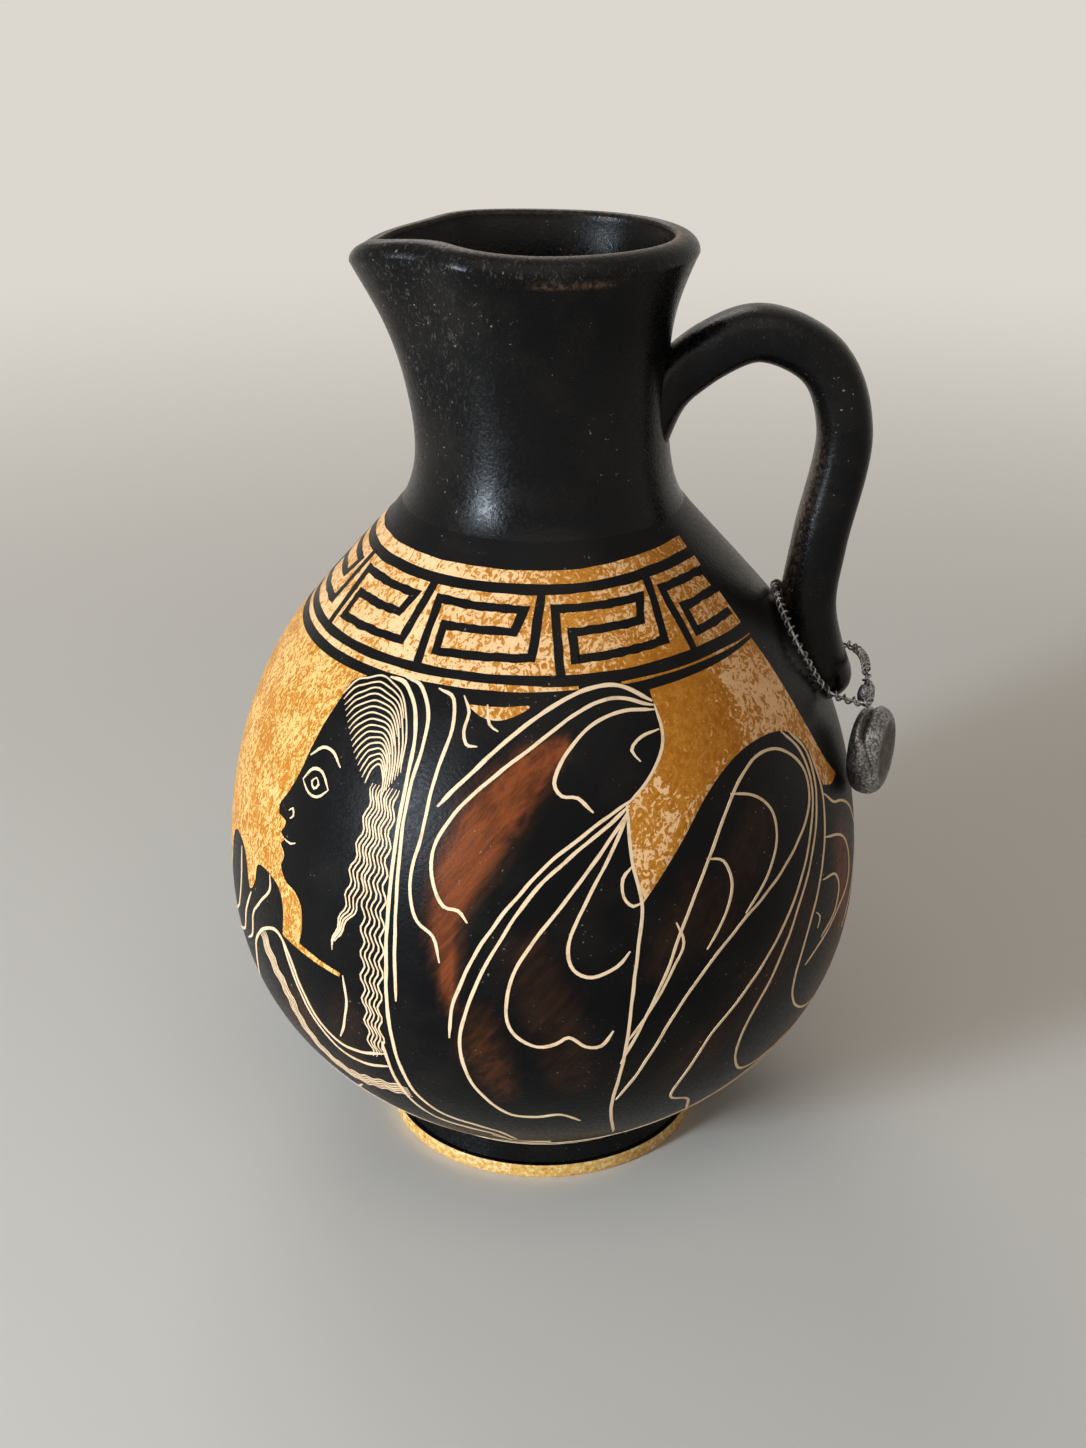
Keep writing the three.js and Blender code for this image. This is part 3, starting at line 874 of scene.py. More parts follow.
@dataclass
class Belly:
    """The black belly, with red-brown washes, that carries the painted ground and lines."""

    segments: int = 240
    inner_thinning: int = 3
    skin_depth: float = 1.0
    paint_depth: float = 0.12
    sunk_from: Span = (6.4, 7.6)
    sunk_to: Span = (113.8, 115.6)
    washes: tuple[Wash, ...] = (
        Wash(
            (
                (3.6, 91.4, 2.4), (-3, 87.6, 5.6), (-9.4, 81.6, 7.6),
                (-14.2, 73.6, 6.6), (-16.8, 65.4, 4.4), (-15.2, 50.5, 1.4),
            ),
            1.0,
        ),
        Wash(((-11, 50, 3.4), (-10, 43, 5.4), (-7, 34, 3.6)), 0.45),
        Wash(((-3, 62, 5.0), (1, 52, 6.0), (5, 38, 5.0)), 0.2),
        Wash(((30, 62, 6.0), (36, 70, 6.0), (42, 76, 5.0)), 0.16),
        Wash(((20, 58, 4.0), (26, 70, 4.0)), 0.16),
        Wash(((24, 34, 5.0), (36, 46, 7.0), (52, 58, 6.0)), 0.2),
        Wash(((48, 24, 6.0), (60, 34, 8.0), (68, 52, 7.0)), 0.42),
        Wash(((68, 48, 6.0), (67, 63, 6.0)), 0.75),
        Wash(((76, 24, 8.0), (86, 40, 9.0)), 0.4),
        Wash(((-72, 22, 7.0), (-56, 30, 7.0), (-48, 40, 6.0)), 0.3),
        Wash(((-40, 24, 5.0), (-36, 44, 5.0)), 0.15),
        Wash(((-100, 42, 8.0), (-84, 36, 8.0)), 0.3),
        Wash(((112, 30, 8.0), (128, 50, 12.0), (140, 66, 9.0)), 0.5),
        Wash(((160, 30, 6.0), (172, 56, 9.0), (166, 80, 7.0)), 0.7),
    )

    def build(self, shape: JugShape, outline: Outline, slip: bpy.types.Material) -> None:
        """Turns the belly with its wall and floor, sunk a little where paint lies on it.

        Args:
            shape: The jug's sizes.
            outline: The outside of the belly.
            slip: Its finish.
        """
        floor, joint = shape.foot_height + shape.floor, Vector(shape.joint)
        outer = outline.moved(self._sunk)
        inner = outline.moved(lambda z: -shape.belly_wall)
        wall = [p for p in inner if floor < p.y < joint.y][:: -self.inner_thinning]
        foot_of_wall = Vector((outline.radius(floor) - shape.belly_wall, floor))
        bore = joint - Vector((shape.belly_wall, 0))
        profile = [Vector((0, shape.foot_height)), *outer, bore, *wall, foot_of_wall, Vector((0, floor))]
        mesh = turn_profile(profile, self.segments)
        layer = mesh.verts.layers.float.new("wash")
        for vertex in mesh.verts:
            x, y, z = vertex.co / MM
            if math.hypot(x, y) > outline.radius(z) - self.skin_depth:
                azimuth = math.degrees(math.atan2(x, -y))
                vertex[layer] = max(wash.at(azimuth, z) for wash in self.washes)
        stand_up(mesh, "belly_wall", Body.JUG, Slot.PAINTED_CLAY, (slip,), ("belly",))

    def _sunk(self, height: float) -> float:
        """Gives how far the wall lies outside its outline at a height, less than 0 under the paint."""
        return -self.paint_depth * hump(height, self.sunk_from, self.sunk_to)


@dataclass
class Neck:
    """The neck, pulled out into a spout, pinched at the flanks and sides, with its rim worn to the clay."""

    segments: int = 240
    lip_steps: int = 16
    lip_swell: float = 0.9
    swell_rise: Span = (148.0, 157.0)
    spout_reach: float = 5.8
    spout_start: float = 4.5
    spout_sharpness: float = 3.0
    spout_turn: float = 4.0
    tip_drop: float = 2.6
    tip_sharpness: float = 13.5
    flank_angle: float = 20.0
    flank_spread: float = 40.0
    near_rise: float = 2.7
    far_rise: float = 0.3
    pinch_angle: float = 37.0
    pinch_spread: float = 15.0
    pinch_depth: float = 2.4
    side_pinch: float = 3.3
    crest_inset: float = 0.25
    crest_wear: float = 0.8
    far_wear: float = 0.15
    knock_height: float = 155.6
    knock_reach: float = 0.42
    knock_wear: float = 0.36
    scuff_azimuth: float = -52.0
    scuff_spread: float = 24.0
    scuff_rise: Span = (122.0, 140.0)
    lip_scuff: float = 0.8
    lip_scuff_rise: Span = (154.5, 157.0)
    lip_start: float = 150.0
    skin_depth: float = 1.2

    def pinched(self, place: Vector, shape: JugShape) -> Vector:
        """Moves a point of the round neck to where the pinched one has it.

        Args:
            place: The point on the round neck, in millimetres.
            shape: The jug's sizes.

        Returns:
            The moved point, in millimetres.
        """
        grown = smoothstep(place.z, shape.joint[1] + self.spout_start, shape.lip_height)
        radius = math.hypot(place.x, place.y)
        turn = math.atan2(place.y, place.x) - math.pi - math.radians(self.spout_turn)
        aside = math.degrees(math.atan2(math.sin(turn), math.cos(turn)))
        facing, side = (1 + math.cos(turn)) / 2, math.sin(turn) ** 2
        pinch = self.pinch_depth * self._bump(aside, self.pinch_angle, self.pinch_spread)
        reach = self.spout_reach * facing**self.spout_sharpness - pinch - self.side_pinch * side
        near = smoothstep(aside, -self.pinch_spread, self.pinch_spread)
        flank = self.far_rise + (self.near_rise - self.far_rise) * near
        drop = self.tip_drop * facing**self.tip_sharpness
        rise = flank * self._bump(aside, self.flank_angle, self.flank_spread) - drop
        share = 1 + grown * reach / radius
        return Vector((place.x * share, place.y * share, place.z + grown**2 * rise))

    @staticmethod
    def _bump(aside: float, middle: float, spread: float) -> float:
        """Gives a soft bump on both flanks of the spout."""
        return math.exp(-(((abs(aside) - middle) / spread) ** 2))

    def build(self, shape: JugShape, outline: Outline, slip: bpy.types.Material) -> None:
        """Turns the neck with its bore and rolled lip, pulls the spout and marks where the slip is worn and
        scuffed.

        Args:
            shape: The jug's sizes.
            outline: The outside of the neck.
            slip: Its finish.
        """
        width, height = shape.lip_roll
        ridge = shape.lip_radius - width
        swell, rise = self.lip_swell, self.swell_rise
        bore_wall = outline.moved(lambda z: -shape.neck_wall - swell * smoothstep(z, *rise))
        inner = [p for p in bore_wall if p.y > shape.joint[1]][::-1]
        mouth = inner[0]
        rounds = [math.pi / 2 * i / self.lip_steps for i in range(1, self.lip_steps + 1)]
        over = []
        for t in rounds:
            drop = height * (1 - math.sin(t))
            over.append(Vector((ridge + width * math.cos(t), shape.lip_height - drop)))
        run, fall = ridge - mouth.x, shape.lip_height - mouth.y
        over += [Vector((ridge - run * math.sin(t), mouth.y + fall * math.cos(t))) for t in rounds[:-1]]
        bore = Vector((shape.joint[0] - shape.belly_wall, shape.joint[1]))
        mesh = turn_profile([*outline.points, *over, *inner, bore, outline.points[0]], self.segments)
        wear_and_sheen, scuff_and_sheen = (mesh.verts.layers.float.new(name) for name in ("wear_and_sheen", "scuff_and_sheen"))
        crest = Vector((ridge - self.crest_inset, shape.lip_height))
        for vertex in mesh.verts:
            place = vertex.co / MM
            edge = outline.radius(place.z) - self.skin_depth if place.z < self.lip_start else ridge
            vertex[wear_and_sheen] = self._worn(place, crest, ridge)
            vertex[scuff_and_sheen] = self._scuffed(place, edge)
            vertex.co = self.pinched(place, shape) * MM
        stand_up(mesh, "neck_wall", Body.JUG, Slot.BLACK_SLIP, (slip,), ("neck_and_spout",))

    def _nearness(self, place: Vector) -> float:
        """Gives how much the rim is handled: fully on the near side, little on the far side."""
        facing = -place.y / math.hypot(place.x, place.y)
        return self.far_wear + (1 - self.far_wear) * smoothstep(facing, -0.2, 0.4)

    def _worn(self, place: Vector, crest: Vector, ridge: float) -> float:
        """Gives how far the slip is worn to the clay.

        Args:
            place: A point of the round neck, in millimetres.
            crest: Radius and height of the lip's crest.
            ridge: Radius of the lip's highest ring.

        Returns:
            The share of bare clay, on the crest and in a row of knocks below it in front.
        """
        section = Vector((math.hypot(place.x, place.y), place.z))
        azimuth = math.degrees(math.atan2(place.x, -place.y))
        rubbed = self._nearness(place) * math.exp(-(((section - crest).length / self.crest_wear) ** 2))
        if section.x <= ridge:
            return rubbed
        in_front = hump(azimuth, (-8, 4), (20, 36))
        row = math.exp(-(((section.y - self.knock_height) / self.knock_reach) ** 2))
        return rubbed + self.knock_wear * in_front * row

    def _scuffed(self, place: Vector, edge: float) -> float:
        """Gives how far the slip is scuffed.

        Args:
            place: A point of the round neck, in millimetres.
            edge: Radius that the outside has at least.

        Returns:
            The share of scuffing on the left flank and under the lip, and none in the bore.
        """
        section = Vector((math.hypot(place.x, place.y), place.z))
        if section.x <= edge:
            return 0.0
        azimuth = math.degrees(math.atan2(place.x, -place.y))
        beside = math.exp(-(((azimuth - self.scuff_azimuth) / self.scuff_spread) ** 2))
        flank = beside * smoothstep(place.z, *self.scuff_rise)
        lip = self.lip_scuff * self._nearness(place) * smoothstep(place.z, *self.lip_scuff_rise)
        return max(flank, lip)


@dataclass
class Handle:
    """The pulled strap handle, smeared on to the neck and the belly at its roots, with a painted reflection
    down its inner edge.
    """

    thickness: float = 9.0
    width: float = 10.6
    squareness: float = 2.5
    top_height: float = 132.0
    loop: tuple[Place, ...] = ((27.2, 141.0), (35.0, 143.6), (45.0, 138.8), (49.0, 128.0), (46.0, 109.0))
    roots: tuple[Place, ...] = ((5.3, 98.0), (0.8, 90.5), (-0.8, 81.5))
    top_share: float = 0.15
    top_flare: float = -0.15
    neck_flare: float = 0.06
    root_share: float = 0.75
    root_flare: float = 0.2
    side_flare: float = 0.4
    tail_round: float = 4.0
    tail_tip: float = 0.35
    neck_smear: float = 6.0
    neck_smear_reach: float = 5.0
    side_smear: float = 2.2
    belly_smear: float = 0.55
    belly_smear_reach: float = 1.6
    smear_end: float = -2.0
    sunk: float = 2.2
    top_scuff: float = 0.6
    top_scuff_fade: Span = (0.3, 0.6)
    # The inner edge's worn and scuffed stripe is partly worn slip and partly a painted reflection.
    inner_wear_and_sheen: float = 0.2
    inner_sheen_rise: Span = (0.42, 0.55)
    inner_sheen_fade: Span = (0.8, 0.9)
    steps: int = 130
    sides: int = 44
    crease: float = 50.0

    def build(self, shape: JugShape, belly: Outline, neck: Outline, slip: bpy.types.Material) -> None:
        """Sweeps the strap along its line and spreads it where it meets the walls.

        Args:
            shape: The jug's sizes.
            belly: The outside of the belly.
            neck: The outside of the neck.
            slip: Its finish.
        """
        start = (neck.radius(self.top_height) - shape.neck_wall, self.top_height)
        roots = [(belly.radius(height) + standoff, height) for standoff, height in self.roots]
        line = evenly(through((start, *self.loop, *roots), 0.4), self.steps)
        length = sum((b - a).length for a, b in zip(line, line[1:]))
        mesh = bmesh.new()
        wear_and_sheen, scuff_and_sheen = (mesh.verts.layers.float.new(name) for name in ("wear_and_sheen", "scuff_and_sheen"))
        bmesh.ops.create_grid(mesh, x_segments=self.steps, y_segments=self.sides, size=1)
        for vertex in mesh.verts:
            index = round((vertex.co.x + 1) / 2 * self.steps)
            angle = (vertex.co.y + 1) * math.pi
            share = index / self.steps
            here = line[index]
            tangent = (line[min(index + 1, self.steps)] - line[max(index - 1, 0)]).normalized()
            thick, wide = self._halves(share, length)
            aside = wide * self._rounded(math.cos(angle))
            out = Vector((-tangent.y, tangent.x)) * thick * self._rounded(math.sin(angle))
            place = Vector((here.x + out.x, aside, here.y + out.y))
            top = smoothstep(out.y, -0.5, thick) * (1 - smoothstep(share, *self.top_scuff_fade))
            # Stripe down the inner edge of the leg: worn slip and a painted reflection.
            inner = smoothstep(-out.x, 0.6 * thick, thick)
            inner *= hump(share, self.inner_sheen_rise, self.inner_sheen_fade)
            vertex[scuff_and_sheen] = max(self.top_scuff * top, inner)
            vertex[wear_and_sheen] = self.inner_wear_and_sheen * inner
            middle = Vector((here.x, 0, here.y))
            if place.z > shape.joint[1]:
                smeared = self._on_neck(place, middle, neck)
            else:
                smeared = self._on_belly(place, middle, belly)
            vertex.co = smeared * MM
        bmesh.ops.remove_doubles(mesh, verts=mesh.verts[:], dist=WELD)
        bmesh.ops.holes_fill(mesh, edges=[e for e in mesh.edges if e.is_boundary], sides=0)
        bmesh.ops.recalc_face_normals(mesh, faces=mesh.faces[:])
        stand_up(mesh, "handle_strap", Body.JUG, Slot.BLACK_SLIP, (slip,), ("handle",), self.crease)

    def _rounded(self, value: float) -> float:
        """Squares a circle's coordinate a little, into the strap's section."""
        return math.copysign(abs(value) ** (2 / self.squareness), value)

    def _halves(self, share: float, length: float) -> tuple[float, float]:
        """Gives half the strap's thickness and width.

        Args:
            share: How far along the strap, from 0 at the neck to 1 at the tail.
            length: The strap's length, in millimetres.

        Returns:
            Half the thickness and half the width, in millimetres.
        """
        top, root = 1 - smoothstep(share, 0, self.top_share), smoothstep(share, self.root_share, 1)
        into_tail = max(0.0, 1 - length * (1 - share) / self.tail_round)
        tail = self.tail_tip + (1 - self.tail_tip) * math.sqrt(1 - into_tail**2)
        thick = self.thickness / 2 * (1 + self.top_flare * top + self.root_flare * root)
        wide = self.width / 2 * (1 + self.neck_flare * top + self.side_flare * root)
        return thick * tail, wide * tail

    def _on_neck(self, place: Vector, middle: Vector, neck: Outline) -> Vector:
        """Smears a point of the strap down and aside where it comes close to the neck.

        Args:
            place: The point, in millimetres.
            middle: The middle of the strap's section there.
            neck: The outside of the neck.

        Returns:
            The smeared point, which ends in the wall.
        """
        outwards = (place - middle).normalized()
        near = (1 - smoothstep(self._clear(place, neck), self.smear_end, self.neck_smear_reach)) ** 2
        under = smoothstep(-outwards.z, -0.5, 0.6)
        smear = Vector((0, self.side_smear * near * outwards.y, -self.neck_smear * near * under))
        return self._ended(place + smear, neck)

    def _on_belly(self, place: Vector, middle: Vector, belly: Outline) -> Vector:
        """Smears a point of the strap outwards where it comes close to the belly.

        Args:
            place: The point, in millimetres.
            middle: The middle of the strap's section there.
            belly: The outside of the belly.

        Returns:
            The smeared point, which ends in the wall.
        """
        outwards = (place - middle).normalized()
        clear = self._clear(place, belly)
        near = (1 - smoothstep(clear, self.smear_end, self.belly_smear_reach)) ** 2
        smear = outwards * self.belly_smear * near * smoothstep(clear, -1.0, 0.2)
        return self._ended(place + smear, belly)

    @staticmethod
    def _clear(place: Vector, outline: Outline) -> float:
        """Gives a point's distance from a wall, less than 0 inside it."""
        return (math.hypot(place.x, place.y) - outline.radius(place.z)) * outline.rise(place.z).y

    def _ended(self, place: Vector, outline: Outline) -> Vector:
        """Keeps a point from going deeper into a wall than the strap is sunk into it.

        Args:
            place: A point of the strap.
            outline: The outside of the wall.

        Returns:
            The point, moved outwards if it lay too deep.
        """
        deepest = outline.radius(place.z) - self.sunk
        share = max(1.0, deepest / max(math.hypot(place.x, place.y), 1.0))
        return Vector((place.x * share, place.y * share, place.z))


@dataclass(frozen=True)
class Stroke:
    """One drawn line on the belly: smooth through its places, or straight from corner to corner."""

    places: tuple[Place, ...]
    width: float
    square: bool = False


class Brush:
    """Draws strokes on the belly as thin raised ribbons."""

    waver = 0.16
    waver_pace = 0.22
    pressure = 0.22
    pressure_pace = 0.35
    tip_width = 0.45
    tip_length = 2.4
    sharpest_mitre = 0.5

    def __init__(
        self, skin: Skin, lift: float, depth: float, step: float = 1.1, weight: float = 1.0
    ) -> None:
        """Takes up the brush.

        Args:
            skin: The wall that is drawn on.
            lift: Height of the ribbons' top over the wall, in millimetres.
            depth: Thickness of the ribbons.
            step: Distance between points of a ribbon.
            weight: Share of a stroke's own width that the hand gives it.
        """
        self.skin, self.lift, self.depth, self.step, self.weight = skin, lift, depth, step, weight

    def draw(self, strokes: Iterable[Stroke]) -> bmesh.types.BMesh:
        """Draws strokes into one mesh.

        Args:
            strokes: The lines to draw.

        Returns:
            The ribbons, closed and with their faces outwards.
        """
        mesh = bmesh.new()
        for seed, stroke in enumerate(strokes):
            follow = straight if stroke.square else through
            line = follow(stroke.places, self.step)
            rows = len(line) - 1
            grid = bmesh.ops.create_grid(mesh, x_segments=rows, y_segments=1, size=1)
            for vertex in grid["verts"]:
                index = round((vertex.co.x + 1) / 2 * rows)
                vertex.co = self._edge(line, index, vertex.co.y, stroke, seed)
        bmesh.ops.solidify(mesh, geom=mesh.faces[:], thickness=self.depth * MM)
        return mesh

    def _edge(self, line: list[Vector], index: int, side: float, stroke: Stroke, seed: int) -> Vector:
        """Finds a point on one side of a ribbon, with the hand's wavering and pressure in it.

        Args:
            line: The ribbon's line, in azimuth and height.
            index: Which point of the line.
            side: 1 for one side of the line and -1 for the other.
            stroke: The stroke that is drawn.
            seed: The stroke's number, which gives it its own wavering.

        Returns:
            The point, in metres.
        """
        here, scale = line[index], self.skin.scale(line[index].y)
        around = line[max(index - 1, 0) : index + 2]
        legs = [b - a for a, b in zip(around, around[1:])]
        ways = [Vector((leg.x * scale.x, leg.y * scale.y)).normalized() for leg in legs]
        along = sum(ways, Vector((0, 0))).normalized()
        mitre = max(along.dot(ways[0]), self.sharpest_mitre)
        travelled = index * self.step
        hand = noise.noise(Vector((travelled * self.waver_pace, seed * 3.7, 0)))
        pressed = 1 + self.pressure * noise.noise(Vector((travelled * self.pressure_pace, seed * 5.3, 4)))
        from_end = min(index, len(line) - 1 - index) * self.step
        grown = smoothstep(from_end, 0, self.tip_length)
        taper = 1.0 if stroke.square else self.tip_width + (1 - self.tip_width) * grown
        half = self.weight * stroke.width / 2 * pressed * taper / mitre
        off = Vector((-along.y, along.x)) * (side * half + hand * self.waver)
        return self.skin.place(here.x + off.x / scale.x, here.y + off.y / scale.y, self.lift)


class Ground:
    """Lays patches of bare ground on the belly, each filled from its outline and cut to follow the wall."""

    cuts = ((Vector((1, 0, 0)), 2.5), (Vector((0, 1, 0)), 1.8))
    cut_snap = 1e-5

    def __init__(self, skin: Skin, lift: float, depth: float) -> None:
        """Keeps the wall, the patches' height over it and their thickness, in millimetres."""
        self.skin, self.lift, self.depth = skin, lift, depth

    def lay(
        self, outlines: Iterable[Sequence[Vector]], gild: Callable[[float, float], float]
    ) -> bmesh.types.BMesh:
        """Fills outlines and bends them on to the wall.

        Args:
            outlines: Closed ways round each patch, in azimuth and height.
            gild: Gives the share of ochre at a place.

        Returns:
            The patches, closed and with their faces outwards.
        """
        mesh = bmesh.new()
        for outline in outlines:
            ring = [mesh.verts.new((p.x, p.y, 0)) for p in outline]
            edges = [mesh.edges.new(pair) for pair in zip(ring, ring[1:] + ring[:1])]
            bmesh.ops.triangle_fill(mesh, use_beauty=True, edges=edges, normal=(0, 0, 1))
        for direction, gap in self.cuts:
            reaches = [v.co.dot(direction) for v in mesh.verts]
            for i in range(math.ceil(min(reaches) / gap), math.ceil(max(reaches) / gap)):
                bmesh.ops.bisect_plane(
                    mesh,
                    geom=mesh.verts[:] + mesh.edges[:] + mesh.faces[:],
                    plane_co=direction * (i * gap),
                    plane_no=direction,
                    dist=self.cut_snap,
                )
        bmesh.ops.triangulate(mesh, faces=mesh.faces[:])
        layer = mesh.verts.layers.float.new("gild")
        for vertex in mesh.verts:
            vertex[layer] = gild(vertex.co.x, vertex.co.y)
            vertex.co = self.skin.place(vertex.co.x, vertex.co.y, self.lift)
        bmesh.ops.solidify(mesh, geom=mesh.faces[:], thickness=self.depth * MM)
        return mesh


@dataclass(frozen=True)
class KeyBand:
    """The band of running key pattern on the shoulder, open where the handle's black panel is."""

    start: float = -239.0
    end: float = 59.5
    top: float = 112.9
    strip_foot: float = 111.3
    field_top: float = 109.9
    field_foot: float = 100.2
    line_top: float = 98.95
    line_foot: float = 98.15
    pitch: float = 35.3
    first_unit: float = -243.3
    line_width: float = 1.42
    drift: float = 1.1
    drift_end: float = 60.0
    rubbed_away: Span = (8.0, 18.0)
    strip_step: float = 2.0
    edge_waver: float = 0.12
    tail_length: float = 20.0
    tail_thinning: float = 0.26
    slim: float = 1.0
    unit_waver: float = 0.8

    def leaned(self, azimuth: float, height: float) -> Vector:
        """Lets the hand-drawn band climb a little towards the handle."""
        return Vector((azimuth, height + self.drift * smoothstep(azimuth, 0, self.drift_end)))

    def strips(self) -> list[list[Vector]]:
        """Gives the outlines of the bare strips: the upper one, the field and the thin lower line.

        Returns:
            One closed outline for each strip.
        """
        spans = (
            (self.start, self.end, self.strip_foot, self.top),
            (self.start, self.end + 0.6, self.field_foot, self.field_top),
            (self.start, self.rubbed_away[0], self.line_foot, self.line_top),
            (self.rubbed_away[1], self.end + 1.0, self.line_foot + 0.18, self.line_top - 0.34),
        )
        return [self._strip(*span) for span in spans]

    def _strip(self, start: float, end: float, foot: float, top: float) -> list[Vector]:
        """Gives one strip's outline with wavering edges.

        Args:
            start: Azimuth of its left end.
            end: Azimuth of its right end.
            foot: Height of its lower edge.
            top: Height of its upper edge.

        Returns:
            The way round it; a slim strip grows thin towards its right end.
        """
        count = math.ceil((end - start) / self.strip_step)
        thinning = self.tail_thinning * (top - foot) if top - foot < self.slim else 0.0
        edges = ((foot, 1, range(count + 1)), (top, -1, range(count, -1, -1)))
        outline = []
        for seed, (height, inwards, steps) in enumerate(edges):
            for i in steps:
                azimuth = start + (end - start) * i / count
                waver = self.edge_waver * noise.noise(Vector((azimuth * 0.12, height, seed)))
                thin = thinning * (1 - smoothstep(end - azimuth, 0, self.tail_length))
                outline.append(self.leaned(azimuth, height + waver + inwards * thin))
        return outline

    def units(self) -> list[Stroke]:
        """Gives the black lines of the key pattern, one winding line for each unit.

        Returns:
            The strokes, from the band's start on.
        """
        strokes, start = [], self.first_unit
        while start < self.end:
            waver = self.unit_waver * noise.noise(Vector((start * 0.31, 2.0, 7.0)))
            way = (
                (0.4, self.field_foot - 0.2),
                (-0.4, 108.25),
                (26.0 + waver, 108.05),
                (23.6 + waver, 105.35),
                (4.0, 105.25 + waver * 0.2),
                (4.1, 101.95),
                (28.6, 102.25),
                (31.0 + waver, self.field_top + 0.3),
            )
            strokes.append(self._kept(tuple((start + across, height) for across, height in way)))
            start += self.pitch
        return [Stroke(way, self.line_width, True) for way in strokes if len(way) > 1]

    def _kept(self, way: tuple[Place, ...]) -> tuple[Place, ...]:
        """Keeps the part of a unit's line that lies inside the band.

        Args:
            way: The corners of the line.

        Returns:
            The line's places inside the band, leaned with it.
        """
        low, high = self.start + 0.2, self.end + 0.2
        inside = [p for p in straight(way, 0.8) if low < p.x < high]
        return tuple(tuple(self.leaned(p.x, p.y)) for p in inside)


@dataclass(frozen=True)
class Locks:
    """Wavy locks of hair side by side; a pair is the first lock's value and the change to the next."""

    first: int
    count: int
    end: tuple[float, float]
    foot: tuple[float, float]
    span: Span
    sweep: tuple[float, float]
    calming: float = 0.0
    crown: tuple[float, float] = (-32.6, 0.66)
    crown_height: float = 83.6
    step: float = 0.85
    swing: float = 0.46
    width: float = 0.36
    spread: Span = (82, 66)
    sway_pace: float = 1.5
    sway_shift: float = 0.25

    def strokes(self) -> list[Stroke]:
        """Gives the locks' lines, from the crown down."""
        return [Stroke(tuple(self._way(i)), self.width) for i in range(self.count)]

    def _way(self, number: int) -> list[Place]:
        """Gives the places of one lock.

        Args:
            number: Which lock, counted within these.

        Returns:
            Its places, which sway, spread and are swept forwards further down.
        """
        index = self.first + number
        end, foot, sweep = (first + change * number for first, change in (self.end, self.foot, self.sweep))
        crown = self.crown[0] + self.crown[1] * index
        way, height = [], self.crown_height
        while height >= end:
            swept = smoothstep(height, *self.span)
            azimuth = crown + (foot - crown) * smoothstep(height, *self.spread) - sweep * swept
            phase = height * self.sway_pace + index * self.sway_shift
            sway = self.swing * (1 - self.calming * swept) * math.sin(phase)
            way.append((azimuth + sway, height))
            height = self.crown_height - len(way) * self.step
        return way


